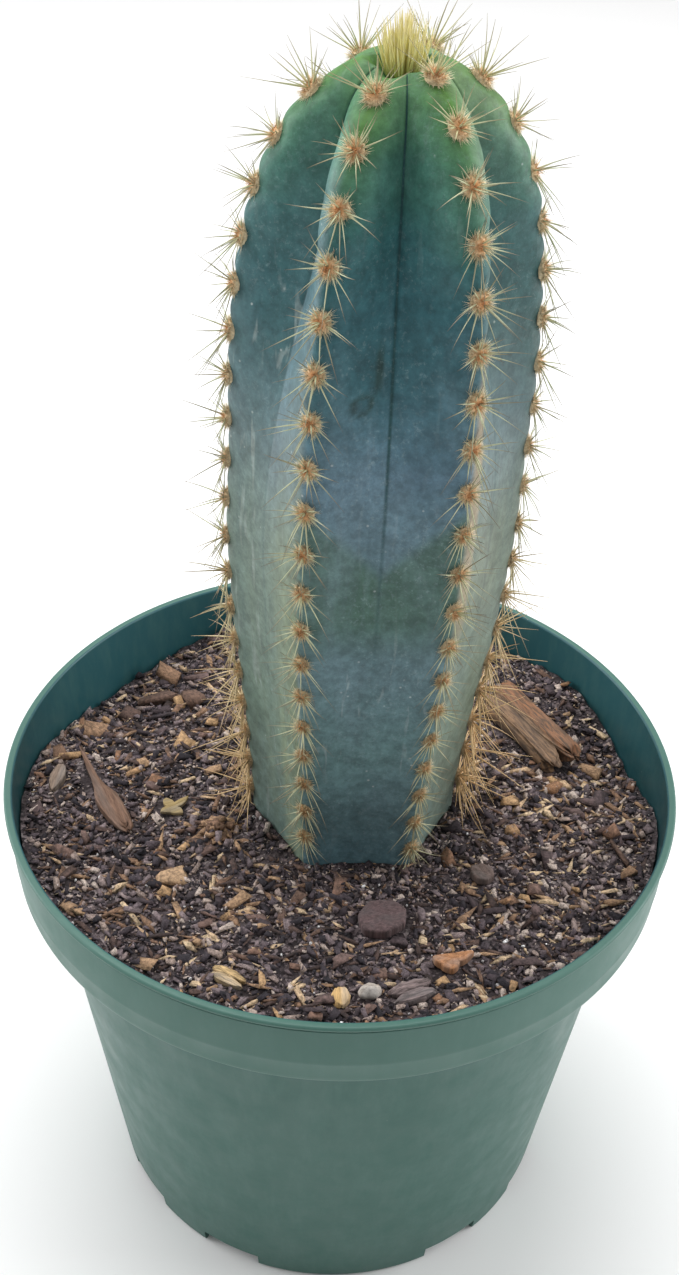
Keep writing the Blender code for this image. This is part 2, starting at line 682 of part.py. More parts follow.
def make_areole(rib, rank, height, points, near, draws):
    """One areole with its spines, drawn again while its faces cross each other or those near."""
    frame = areole_frame(rib, height)
    taken = [line for _, lines in near for line in lines]
    near_faces = [face for faces, _ in near for face in faces]
    start = len(points)
    for _ in range(AREOLE_TRIES):
        del points[start:]
        first = add_cushion(points, *frame)
        faces = [tuple(first + i for i in reversed(range(CUSHION_SIDES)))]
        lines = add_spines(points, faces, first, frame, rib, rank, draws, taken)
        if not faces_cross(points, near_faces + faces):
            break
    return first, faces, lines


def make_rib_spines(rib):
    """One rib's areoles, held on a slim line of felt, with the spines raised from them."""
    draws = np.random.default_rng(SPINE_SEED + rib)
    points, firsts, areoles = [], [], []
    for rank, height in enumerate(areole_heights(rib)):
        first, faces, lines = make_areole(rib, rank, height, points, areoles[-2:], draws)
        firsts.append(first)
        areoles.append((faces, lines))
    faces = [face for group, _ in areoles for face in group]
    for upper, lower in zip(firsts[:-1], firsts[1:]):
        join_cushions(faces, upper, lower)
    faces.append((firsts[0] + 1, firsts[0] + 2, firsts[0] + 10, firsts[0] + 9))
    faces.append((firsts[-1] + 5, firsts[-1] + 6, firsts[-1] + 14, firsts[-1] + 13))
    add_mesh(f"spines_rib_{rib + 1}", points, faces, "spines", 30.0)


def join_cushions(faces, upper, lower):
    """The felt line between two areoles: four sides from one cushion's edge to the next."""
    below = [upper + 5, upper + 6, upper + 14, upper + 13]
    above = [lower + 2, lower + 1, lower + 9, lower + 10]
    for i in range(4):
        k = (i + 1) % 4
        faces.append((below[i], below[k], above[k], above[i]))


def make_crown_tuft():
    """The woolly crown: a low dome on the apex with upright spines raised from its faces."""
    draws = np.random.default_rng(SPINE_SEED)
    apex = stem_centre(DIMPLE_FLOOR) + np.array([0.0, 0.0, TUFT_LIFT])
    turns = np.arange(TUFT_SIDES) * 360.0 / TUFT_SIDES
    points = []
    for radius, lift in TUFT_RINGS:
        points += list(apex + radius * MM * heading(turns) + np.array([0.0, 0.0, lift * MM]))
    points.append(apex + np.array([0.0, 0.0, TUFT_TOP]))
    middle = len(points) - 1
    faces = [tuple(range(TUFT_SIDES))]
    for ring, (tilt, length) in enumerate(TUFT_SPINES):
        for j in range(TUFT_SIDES):
            k = (j + 1) % TUFT_SIDES
            low = ring * TUFT_SIDES
            if ring + 1 < len(TUFT_RINGS):
                corners = [low + j, low + k, low + TUFT_SIDES + k, low + TUFT_SIDES + j]
            else:
                corners = [low + j, low + k, middle]
            if ring + 1 == len(TUFT_RINGS) and j % 2:
                faces.append(tuple(corners))
                continue
            base = np.mean([points[c] for c in corners], axis=0)
            lean = math.radians(tilt + TUFT_LEAN_SPREAD * draws.uniform(-1.0, 1.0))
            bearing = turns[j] + 180.0 / TUFT_SIDES + TUFT_TURN_SPREAD * draws.uniform(-1.0, 1.0)
            way = math.sin(lean) * heading(bearing) + np.array([0.0, 0.0, math.cos(lean)])
            tip = base + way * length * MM * draws.uniform(*TUFT_LENGTH_SHARES)
            spined_face(points, faces, corners, tip)
    add_mesh("crown_spines", points, faces, "crown_spines", 30.0)


def slab(length, width, thick, draws, sides=9, jitter=0.12, blunt=0.82):
    """An irregular flat piece: a jittered outline, bevelled to a smaller uneven top."""
    turns = np.arange(sides) * 2.0 * math.pi / sides
    reach = 1.0 + jitter * draws.uniform(-1.0, 1.0, sides)
    outline = np.stack([0.5 * length * np.cos(turns), 0.5 * width * np.sin(turns)], axis=-1)
    outline = outline * reach[:, None]
    rings = []
    for share, lift in (SLAB_FOOT, SLAB_WAIST, (blunt, 1.0)):
        rough = SLAB_TOP_ROUGHNESS * lift * draws.uniform(-1.0, 1.0, sides)
        bumps = lift * thick * (1.0 + rough)
        rings.append(np.column_stack([outline * share, bumps]))
    return loft(rings, np.zeros(3), np.array([0.0, 0.0, SLAB_MIDDLE * thick]))


def splinter(length, width, thick, draws):
    """A long splinter: narrow at one end and wide and blunt at the other."""
    turns = np.arange(SPLINTER_SIDES) * 2.0 * math.pi / SPLINTER_SIDES
    rings = []
    for share, wide in zip(SPLINTER_SHARES, SPLINTER_WIDTHS):
        tall = thick * (SPLINTER_THIN_END + (1.0 - SPLINTER_THIN_END) * share)
        bend = SPLINTER_BEND[0] * math.sin(SPLINTER_BEND[1] * share)
        across = 0.5 * width * wide * np.cos(turns) + bend
        lift = 0.5 * tall * (1.0 + np.sin(turns)) * draws.uniform(0.92, 1.0)
        along = np.full(SPLINTER_SIDES, (share - 0.5) * length)
        rings.append(np.column_stack([along, across, lift]))
    start = rings[0].mean(axis=0) - np.array([SPLINTER_ENDS[0], 0.0, 0.0])
    end = rings[-1].mean(axis=0) + np.array([SPLINTER_ENDS[1], 0.0, 0.0])
    return loft(rings, start, end)


def pebble(length, width, thick, draws):
    """A rounded stone: rings of an ellipsoid with a little jitter."""
    turns = np.arange(PEBBLE_SIDES) * 2.0 * math.pi / PEBBLE_SIDES
    rings = []
    for tilt in np.radians(PEBBLE_TILTS):
        jitter = PEBBLE_JITTER * draws.uniform(-1.0, 1.0, PEBBLE_SIDES)
        reach = math.cos(tilt) * (1.0 + jitter)
        x = 0.5 * length * np.cos(turns) * reach
        y = 0.5 * width * np.sin(turns) * reach
        z = np.full(PEBBLE_SIDES, 0.5 * thick * (1.0 + math.sin(tilt)))
        rings.append(np.column_stack([x, y, z]))
    return loft(rings, np.zeros(3), np.array([0.0, 0.0, thick]))


def leaf(length, width, thick, draws):
    """A curled scrap of leaf: a thin pointed outline that lifts at its ends."""
    points, faces = slab(length, width, thick, draws, sides=10, jitter=0.08, blunt=0.9)
    points = np.array(points)
    points[:, 2] += LEAF_CURL * (points[:, 0] / (0.5 * length)) ** 2
    return list(points), faces


SHAPES = {"slab": slab, "splinter": splinter, "pebble": pebble, "leaf": leaf}


def make_loose_pieces():
    """Bark, chips, a leaf scrap and a pebble, each resting on the mix with a hair of air."""
    draws = np.random.default_rng(PIECE_SEED)
    for name, shape, x, y, length, width, thick, turn, finish in LOOSE_PIECES:
        points, faces = SHAPES[shape](length * MM, width * MM, thick * MM, draws)
        points = np.array(points)
        angle = math.radians(turn)
        across = points[:, 0] * math.cos(angle) - points[:, 1] * math.sin(angle)
        deep = points[:, 0] * math.sin(angle) + points[:, 1] * math.cos(angle)
        lift = soil_height(x * MM + across, y * MM + deep).max() + SEAT_GAP
        placed = np.column_stack([across, deep, points[:, 2]])
        made = add_mesh(name, placed, faces, finish, 35.0)
        made.location = (x * MM, y * MM, lift)


def main():
    clear_scene()
    make_pot()
    make_soil()
    make_stem()
    for rib in range(RIBS):
        make_rib_spines(rib)
    make_crown_tuft()
    make_loose_pieces()


main()
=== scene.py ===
"""The potted six-ribbed blue cactus with its fine surfaces, spines, soil and finishes.

Lengths are metres, +Z is up, the pot's axis is Z and the viewer stands at -Y. Directions
round the stem are angles in degrees from -Y towards +X. Every new piece is a surface worked
out as whole arrays: a grid of two parameters, or a profile carried along paths.
"""

import itertools
import math

import bpy
import numpy as np
from mathutils import Matrix, Vector


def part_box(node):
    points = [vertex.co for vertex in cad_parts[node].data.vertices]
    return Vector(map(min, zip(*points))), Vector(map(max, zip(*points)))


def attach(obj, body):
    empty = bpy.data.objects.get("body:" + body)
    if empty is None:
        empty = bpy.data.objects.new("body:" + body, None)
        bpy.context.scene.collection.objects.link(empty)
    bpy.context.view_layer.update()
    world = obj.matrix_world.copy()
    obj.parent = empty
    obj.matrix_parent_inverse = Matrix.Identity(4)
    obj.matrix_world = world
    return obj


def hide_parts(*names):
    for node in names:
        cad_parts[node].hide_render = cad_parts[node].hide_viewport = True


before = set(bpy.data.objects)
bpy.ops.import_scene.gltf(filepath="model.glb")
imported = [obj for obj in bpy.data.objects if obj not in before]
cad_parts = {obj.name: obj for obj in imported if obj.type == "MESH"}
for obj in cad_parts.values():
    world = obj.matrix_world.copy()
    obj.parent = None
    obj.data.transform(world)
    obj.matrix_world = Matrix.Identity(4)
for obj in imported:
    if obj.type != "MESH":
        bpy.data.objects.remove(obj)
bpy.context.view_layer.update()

MM = 0.001
UP = np.array([0.0, 0.0, 1.0])

# Camera: its place, its direction in degrees, its focal length and its sensor in mm
CAMERA_PLACE = (0.0, -0.28064, 0.37231)
CAMERA_TURN = -0.253
CAMERA_DOWN = 37.559
CAMERA_ROLL = -1.845
LENS = 46.36
SENSOR_WIDTH = 36.0

# Light: brightness of the surrounding from the viewer's side, and from the sides and behind,
# changing between two sums of the direction's Y and Z. Soft lights: name, place, size, watts
FRONT_GLOW = 0.3
SIDE_GLOW = 0.64
GLOW_CHANGE = (-0.9, 0.5)
LIGHT_AIM = (0.0, 0.0, 0.18)
SOFTBOXES = (
    ("softbox_top", (-0.1, 0.3, 1.2), 0.9, 10.0),
    ("softbox_left", (-1.0, 0.25, 0.5), 0.8, 8.0),
    ("softbox_right", (1.0, 0.15, 0.5), 0.8, 8.7),
)
FLOOR_HALF = 3.0
FLOOR_TONES = (0.84, 0.88)

# Pot
RIM_RADIUS = 76.2 * MM
POT_HEIGHT = 120.0 * MM
LIP_HEIGHT = 1.3 * MM
LIP_WIDTH = 2.0 * MM
LIP_GROOVE = 0.5 * MM
COLLAR_TOP_RADIUS = 75.7 * MM
COLLAR_FOOT_RADIUS = 74.7 * MM
COLLAR_FOOT_Z = 102.6 * MM
COLLAR_CREASE_Z = 107.7 * MM
COLLAR_CREASE = 0.12 * MM
COLLAR_FADE = 7.0 * MM
BODY_TOP_RADIUS = 67.3 * MM
BODY_TOP_Z = 96.0 * MM
BODY_FOOT_RADIUS = 55.3 * MM
HEEL_RADIUS = 1.2 * MM
WALL = 1.6 * MM
FLOOR_UNDERSIDE_Z = 4.0 * MM
FLOOR_TOP_Z = 6.0 * MM
FOOT_RING_WIDTH = 5.4 * MM
POT_STEPS = 288
NOTCH_WIDTH = 15.0 * MM
NOTCH_HEIGHT = 4.3 * MM
NOTCH_PAIR_OFFSET = 15.3
NOTCH_TURN = 5.0
SLOT_OUTER_INSET = 6.0 * MM
SLOT_DEPTH = 6.5 * MM
CUTTER_SPARE = 2.0 * MM
SHARP_FROM = 35.0

# Stem: heights are measured from the soil at its foot
STEM_FOOT = (3.0 * MM, -2.9 * MM)
STEM_SOIL_Z = 110.5 * MM
STEM_LEAN = (0.021, -0.004)
STEM_HEIGHT = 173.0 * MM
STEM_BURIED = 42.0 * MM
RIBS = 6
FIRST_RIB = -26.6
CREST_AT_SOIL = 22.9 * MM
CREST_AT_BELLY = 29.0 * MM
BELLY_HEIGHT = 80.0 * MM
CROWN_POWER = 4.1
LOW_RIB_DROP = 1.0 * MM
LOW_RIB_POWER = 1.1
ROOT_RADIUS = 19.0 * MM
GROOVE_AT_SOIL = 0.87
GROOVE_FALL = (90.0 * MM, 148.0 * MM)
SHOULDER_HEIGHT = 115.0 * MM
GROOVE_AT_CROWN = 0.62
CROWN_HEIGHT = 156.0 * MM
GROOVE_AT_DIMPLE = 0.84
DIMPLE_RADIUS = 7.2 * MM
DIMPLE_FLOOR = 168.2 * MM
LOBE_START = 135.0 * MM
LOBE_FULLNESS = 1.3
CREST_ROUNDING = 0.26
GROOVE_ROUNDING = 0.05
STEM_COLUMNS = 42
STEM_ROWS = 270
ROOT_ROWS = 8
CRENATION = (0.35 * MM, 1.0 * MM)
CREASE_DEPTH = (0.12 * MM, 0.45 * MM)
CREASE_START = 0.94
CRENATION_WIDTH = 0.42
SKIN_WAVES = ((0.3 * MM, 7.0 * MM, 3), (0.12 * MM, 2.4 * MM, 4))
DIMPLE_SHARES = (0.86, 0.72, 0.6, 0.4, 0.2)

# Stem skin: shares from 0 to 1 by height in mm, and colours by height as a share of the stem's
FRONT_SEAM = ((0.0, 0.03), (55.0, 0.1), (85.0, 0.42), (112.0, 0.95))
SIDE_SEAM = ((0.0, 0.06), (118.0, 0.2), (150.0, 0.9))
LEFT_FADE = ((0.0, 0.36), (40.0, 0.34), (85.0, 0.3), (108.0, 0.12), (125.0, 0.05), (170.0, 0.04))
RIGHT_FADE = (
    (0.0, 0.34), (50.0, 0.35), (82.0, 0.34), (108.0, 0.08), (135.0, 0.05), (150.0, 0.07), (165.0, 0.2),
)
# Painted shade on the side faces: how far the left and right ones are darkened and yellowed, by height
LEFT_SHADE = ((0.0, 0.3), (30.0, 0.4), (60.0, 0.52), (105.0, 0.5), (125.0, 0.25), (150.0, 0.0))
RIGHT_SHADE = ((0.0, 0.4), (40.0, 0.5), (70.0, 0.78), (118.0, 0.75), (135.0, 0.5), (155.0, 0.0))
# The lowest tones are paler as painted light, making up for the shade the pot and mix cast on the stem's
# foot
SKIN_TONES_AND_FOOT_LIGHT = (
    (0.0, (0.105, 0.2, 0.235)), (0.1, (0.125, 0.22, 0.24)), (0.2, (0.135, 0.24, 0.245)),
    (0.33, (0.128, 0.215, 0.24)), (0.42, (0.102, 0.182, 0.2)), (0.5, (0.098, 0.178, 0.21)),
    (0.6, (0.096, 0.178, 0.235)), (0.65, (0.072, 0.16, 0.205)), (0.695, (0.04, 0.122, 0.148)),
    (0.77, (0.032, 0.118, 0.14)), (0.84, (0.038, 0.138, 0.145)), (0.93, (0.056, 0.176, 0.132)),
    (1.0, (0.088, 0.215, 0.062)),
)

# Areoles and their spines
FIRST_AREOLES = tuple(s * MM for s in (11.1, 9.2, 14.2, 11.0, 14.5, 17.3))
AREOLE_PITCH = 9.7 * MM
PITCH_LOSS = 0.075 * MM
LOWEST_AREOLE = 4.0 * MM
FELT_RADIUS = (1.35 * MM, 1.75 * MM)
FELT_HEIGHT = 1.25 * MM
FELT_GRID = (8, 18)
FELT_HAIRS = 420
HAIR_LENGTH = (0.5 * MM, 2.4 * MM)
HAIR_THICKNESS = 0.12 * MM
SIDE_SPINES = 15
MIDDLE_SPINES = 4
LOW_SPINES = 13
SPINE_STEPS = 6
SPINE_SIDES = 5
SPINE_THICKNESS = 0.34 * MM
SPINE_TAPER = (1.2, 0.88)
NO_SPINE_WAY = (0.31, 0.22, 0.93)
MIDDLE_TILT = (8.0, 40.0)
MIDDLE_LENGTH = (4.0 * MM, 9.0 * MM)
SIDE_TILT = (56.0, 84.0)
SIDE_LENGTH = (3.8 * MM, 8.2 * MM)
SPINE_SEED = 41
FELT_SEED = 61

# Crown tuft
TUFT_SPINES = 210
TUFT_RADIUS = 3.1 * MM
TUFT_TOP_Z = 290.0 * MM
TUFT_THICKNESS = 0.4 * MM
TUFT_TAPER = (1.5, 0.85)
TUFT_STEPS = 7
TUFT_SEED = 91

# Potting mix
SOIL_LEVEL = 110.6 * MM
SOIL_RISE = 0.035
SOIL_LUMP = 0.55 * MM
SOIL_LUMP_LENGTH = 9.0 * MM
SOIL_DIPS = ((-125.0, 36.0, 6.5 * MM), (105.0, 21.0, 7.0 * MM))
DIP_START = 44.0 * MM
DIP_REACH = 27.0 * MM
WALL_RING_STEP = 0.7 * MM
SOIL_WALL_GAP = 0.45 * MM
SEAT_GAP = 0.35 * MM
MIX_COLUMNS = 480
MIX_RINGS = 72
RELIEF_HEIGHT = 0.62 * MM
RELIEF_WAVES = ((0.5, 1.7 * MM, 5), (0.3, 0.8 * MM, 6), (0.22, 0.42 * MM, 8))
MIX_SEED = 12
PLACED_SEED = 18
PIECES_SEED = 72

# Loose bits that cover the mix: name, shape, finish, slot, seed, then how many with the smallest
# and largest in mm, then width and thickness as shares of the length, spread of the bearings about
# left to right, tilt, raggedness, and the power that favours small ones
LITTER = (
    ("mix_grit", "lump", "grit", "potting_mix", 1, (15000, 0.4, 1.2), (0.8, 0.6, 90.0, 0.6, 0.45, 1.5)),
    ("mix_crumbs", "flat", "grit", "potting_mix", 2, (6800, 0.8, 2.9), (0.65, 0.5, 90.0, 0.6, 0.5, 2.0)),
    ("mix_chunks", "flat", "bark_bits", "bark", 3, (280, 2.2, 5.6), (0.6, 0.4, 60.0, 0.4, 0.45, 1.8)),
    ("perlite", "round", "perlite", "pale_stone", 4, (400, 0.3, 1.0), (0.9, 0.85, 90.0, 0.5, 0.25, 2.0)),
    ("fibre_slivers", "flat", "fibre", "wood_chip", 5, (1300, 1.2, 6.5), (0.26, 0.16, 50.0, 0.3, 0.5, 2.2)),
    (
        "pointed_slivers", "lump", "fibre", "wood_chip", 7,
        (2400, 1.5, 7.5), (0.24, 0.16, 44.0, 0.25, 0.4, 2.2),
    ),
)
# Finishes of the loose bits: scale of their grain, and colours from the darkest bit to the palest
LITTER_TONES = {
    "grit": (1700.0, (
        (0.0, (0.012, 0.01, 0.014)), (0.3, (0.032, 0.025, 0.032)), (0.55, (0.1, 0.076, 0.086)),
        (0.8, (0.215, 0.165, 0.17)), (0.93, (0.35, 0.265, 0.225)), (1.0, (0.5, 0.41, 0.36)),
    )),
    "bark_bits": (900.0, (
        (0.0, (0.026, 0.02, 0.026)), (0.45, (0.07, 0.049, 0.053)), (0.72, (0.14, 0.09, 0.08)),
        (0.9, (0.25, 0.13, 0.07)), (1.0, (0.4, 0.25, 0.13)),
    )),
    "fibre": (1200.0, (
        (0.0, (0.03, 0.02, 0.02)), (0.35, (0.085, 0.052, 0.044)), (0.62, (0.2, 0.115, 0.072)),
        (0.84, (0.38, 0.24, 0.14)), (1.0, (0.6, 0.45, 0.29)),
    )),
    "perlite": (1700.0, (
        (0.0, (0.3, 0.28, 0.28)), (0.5, (0.55, 0.53, 0.53)), (1.0, (0.8, 0.79, 0.79)),
    )),
}

# A heap of orange crumbs beside the stem, and bits that stand out: x, y, length, width, thickness
# in mm, bearing, tone
HEAP_PLACE = (-27.5 * MM, -14.0 * MM)
HEAP_SPREAD = 2.3 * MM
HEAP_HEIGHT = 2.2 * MM
HEAP_BITS = 55
PLACED_BITS = (
    (-39.0, -55.5, 4.5, 4.0, 1.0, 60.0, 0.8), (-36.0, -30.0, 7.0, 5.0, 2.2, 100.0, 0.86),
    (-21.0, -37.0, 6.0, 3.0, 1.6, 130.0, 0.8), (-56.5, -40.0, 4.5, 3.5, 1.5, 60.0, 0.78),
    (-60.0, 23.0, 8.0, 6.0, 4.0, 110.0, 0.7), (-45.0, 47.0, 8.0, 5.0, 4.0, 60.0, 0.66),
    (-47.0, 36.0, 12.0, 4.0, 3.4, 92.0, 0.42), (-37.5, 34.0, 6.5, 6.0, 4.0, 30.0, 0.45),
    (-67.0, 11.0, 4.5, 4.0, 3.0, 20.0, 0.6), (-30.0, 6.0, 4.2, 3.0, 2.0, 80.0, 0.8),
    (-46.5, 8.0, 3.5, 2.6, 2.0, 40.0, 0.84), (-34.0, 12.0, 7.0, 1.6, 1.5, 10.0, 0.5),
    (-53.0, 31.0, 6.0, 5.0, 3.0, 70.0, 0.38), (60.0, 17.0, 6.5, 4.0, 2.6, 60.0, 0.8),
    (52.0, 7.0, 5.0, 3.0, 1.6, 100.0, 0.9), (64.0, -24.0, 4.5, 2.6, 2.0, 120.0, 0.7),
)

# Loose pieces on the mix: node, form, length, width, thickness in mm, turn, slot, tone
LOOSE_PIECES = (
    ("bark_slab", "slab", 31.0, 11.0, 4.6, -57.0, "bark", (0.25, 0.155, 0.1)),
    ("bark_disc", "plate", 11.5, 10.5, 3.0, 10.0, "bark", (0.112, 0.066, 0.067)),
    ("bark_splinter", "splinter", 31.0, 5.2, 2.4, -62.0, "bark", (0.19, 0.1, 0.06)),
    ("chip_orange", "wedge", 9.5, 5.0, 2.2, 20.0, "wood_chip", (0.44, 0.2, 0.085)),
    ("chip_brown", "plate", 6.0, 5.0, 2.2, -30.0, "bark", (0.15, 0.1, 0.085)),
    ("chip_yellow", "stick", 4.6, 4.0, 2.0, 95.0, "wood_chip", (0.66, 0.42, 0.17)),
    ("chip_grey", "split", 9.5, 5.2, 2.2, 24.0, "bark", (0.2, 0.145, 0.14)),
    ("chip_tan", "split", 8.0, 3.8, 1.8, -28.0, "wood_chip", (0.5, 0.34, 0.16)),
    ("chip_pale", "stick", 8.5, 3.6, 2.0, 84.0, "wood_chip", (0.28, 0.2, 0.15)),
    ("leaf_scrap", "leaf", 9.5, 7.0, 1.0, 35.0, "dry_leaf", (0.35, 0.25, 0.1)),
    ("pebble", "stone", 4.8, 3.8, 3.0, 15.0, "pale_stone", (0.46, 0.4, 0.35)),
)
# Forms of wood: width along the length as shares, stations, columns, depth of the crack as a
# share of the thickness
STICKS = {
    "slab": ((0.84, 0.96, 1.0, 1.0, 1.0, 0.96, 0.8), 64, 64, 0.25),
    "split": ((0.3, 0.75, 1.0, 0.9, 1.0, 0.7, 0.35), 28, 28, 0.25),
    "stick": ((0.35, 0.85, 1.0, 0.8, 0.55), 32, 40, 0.12),
    "splinter": ((0.14, 0.18, 0.26, 0.3, 0.5, 0.95, 1.0, 0.9, 0.6), 56, 40, 0.25),
}
# The two strips of a slab or split chip: side, shares of length, width and thickness, shift
SPLIT_FORMS = ("slab", "split")
STRIPS = ((1.0, 0.98, 0.54, 1.0, 0.0), (-1.0, 0.92, 0.52, 0.88, 0.03))
# Flat forms: corners, raggedness, depth between lobes, curl, roundness, rings, columns
PLATES = {
    "leaf": (8, 0.4, 0.4, 1.3 * MM, 0.25, 14, 96),
    "stone": (9, 0.16, 0.0, 0.0, 1.0, 20, 32),
    "wedge": (6, 0.12, 0.42, 0.7 * MM, 0.3, 16, 84),
    "plate": (7, 0.16, 0.0, 0.0, 0.26, 18, 84),
}
# The slab's own pale fibres, of its near strip and its far one
SLAB_LIGHT = ((0.24, 0.145, 0.082), (0.265, 0.125, 0.062))


def smooth(t):
    """Rises from 0 to 1 with level ends."""
    t = np.clip(t, 0.0, 1.0)
    return t * t * (3.0 - 2.0 * t)


def heading(degrees):
    """Unit vectors at these angles from -Y towards +X."""
    angle = np.radians(degrees)
    return np.stack([np.sin(angle), -np.cos(angle), np.zeros_like(angle)], axis=-1)


def wrapped(degrees):
    """Angles brought to between -180 and 180."""
    return (degrees + 180.0) % 360.0 - 180.0


def bearing_of(x, y):
    """Angles of these ways from -Y towards +X."""
    return np.degrees(np.arctan2(x, -y))


def cos_sin(degrees):
    """Cosine and sine of an angle."""
    return math.cos(math.radians(degrees)), math.sin(math.radians(degrees))


def powered(values, power):
    """A power of the numbers that keeps their signs."""
    return np.sign(values) * np.abs(values) ** power


def lathe(profile, angles):
    """A profile of radii and heights, turned about Z to these angles: a ring for each point."""
    return profile[:, None, :1] * heading(angles) + profile[:, None, 1:] * UP


def unit(vectors):
    """The vectors at length 1."""
    return vectors / np.maximum(np.linalg.norm(vectors, axis=-1, keepdims=True), 1e-12)


def wobble(points, scale, seed):
    """A smooth number from -1 to 1 at each point: three crossed sine waves of about this length."""
    turns = np.random.default_rng(seed).uniform(0.0, 2.0 * math.pi, (3, 4))
    total = 0.0
    for i in range(3):
        way = np.array([math.cos(turns[i, 0]), math.sin(turns[i, 0]), math.sin(turns[i, 1])])
        bend = np.sin(points @ np.roll(way, 1) * (0.7 / scale) + turns[i, 2])
        total = total + np.sin(points @ way * (1.0 / scale) + 1.5 * bend + turns[i, 3])
    return total / 3.0


def add_piece(name, points, faces, finish, values=None, smooth_shading=True):
    """A mesh object from whole arrays. Faces are arrays of three or four corners a row, and
    values are numbers for each point that the material reads by name."""
    mesh = bpy.data.meshes.new(name)
    points = np.asarray(points, np.float64).reshape(-1, 3)
    mesh.vertices.add(len(points))
    mesh.vertices.foreach_set("co", points.astype(np.float32).ravel())
    corners = np.concatenate([np.asarray(f).ravel() for f in faces])
    sizes = np.concatenate([np.full(len(f), np.asarray(f).shape[1]) for f in faces])
    mesh.loops.add(len(corners))
    mesh.loops.foreach_set("vertex_index", corners.astype(np.int32))
    mesh.polygons.add(len(sizes))
    starts = np.concatenate([[0], np.cumsum(sizes)[:-1]])
    mesh.polygons.foreach_set("loop_start", starts.astype(np.int32))
    mesh.update(calc_edges=True)
    mesh.validate()
    for key, numbers in (values or {}).items():
        made = mesh.attributes.new(key, "FLOAT", "POINT")
        made.data.foreach_set("value", np.asarray(numbers, np.float32).ravel())
    if smooth_shading:
        mesh.shade_smooth()
    mesh.materials.append(finish)
    piece = bpy.data.objects.new(name, mesh)
    bpy.context.scene.collection.objects.link(piece)
    return piece


def grid_faces(rows, columns):
    """Four-cornered faces of rings laid one above the other, each ring closed on itself."""
    i = np.arange(rows - 1)[:, None] * columns
    j = np.arange(columns)[None, :]
    k = (j + 1) % columns
    return np.stack([i + j, i + k, i + columns + k, i + columns + j], axis=-1).reshape(-1, 4)


def fan_faces(pole, first, columns, upward):
    """Three-cornered faces from a pole to the ring that starts at this point."""
    j = np.arange(columns)
    k = (j + 1) % columns
    ring = np.stack([first + j, first + k], axis=-1)
    if not upward:
        ring = ring[:, ::-1]
    return np.column_stack([ring, np.full(columns, pole)])


def closed_faces(rows, columns, inside_out=False):
    """Faces of rings closed by two poles, the points that follow the last ring's: one below the
    first ring and one above the last."""
    last = rows * columns
    low = fan_faces(last, 0, columns, inside_out)
    high = fan_faces(last + 1, last - columns, columns, not inside_out)
    return [grid_faces(rows, columns)[:, :: -1 if inside_out else 1], low, high]


def copies_of(faces, size, count):
    """The faces of a solid of this many points, for a row of such solids."""
    return (faces[None] + size * np.arange(count)[:, None, None]).reshape(-1, faces.shape[1])


def dress(piece, nodes):
    """Sets a finished piece in the frame: it rides on the body and stands for these nodes."""
    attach(piece, "root")
    if nodes:
        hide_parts(*nodes)


class Nodes:
    """A node tree in the making: short calls that the finishes and the light share."""

    def __init__(self, tree):
        self.tree = tree

    def node(self, kind, **settings):
        """A new node with these settings."""
        made = self.tree.nodes.new(kind)
        for key, value in settings.items():
            setattr(made, key, value)
        return made

    def feed(self, socket, value):
        """Links a socket or sets a plain value."""
        if isinstance(value, bpy.types.NodeSocket):
            self.tree.links.new(value, socket)
        else:
            socket.default_value = value

    def math(self, operation, *values):
        """The result of an arithmetic node."""
        made = self.node("ShaderNodeMath", operation=operation)
        for socket, value in zip(made.inputs, values):
            self.feed(socket, value)
        return made.outputs["Value"]


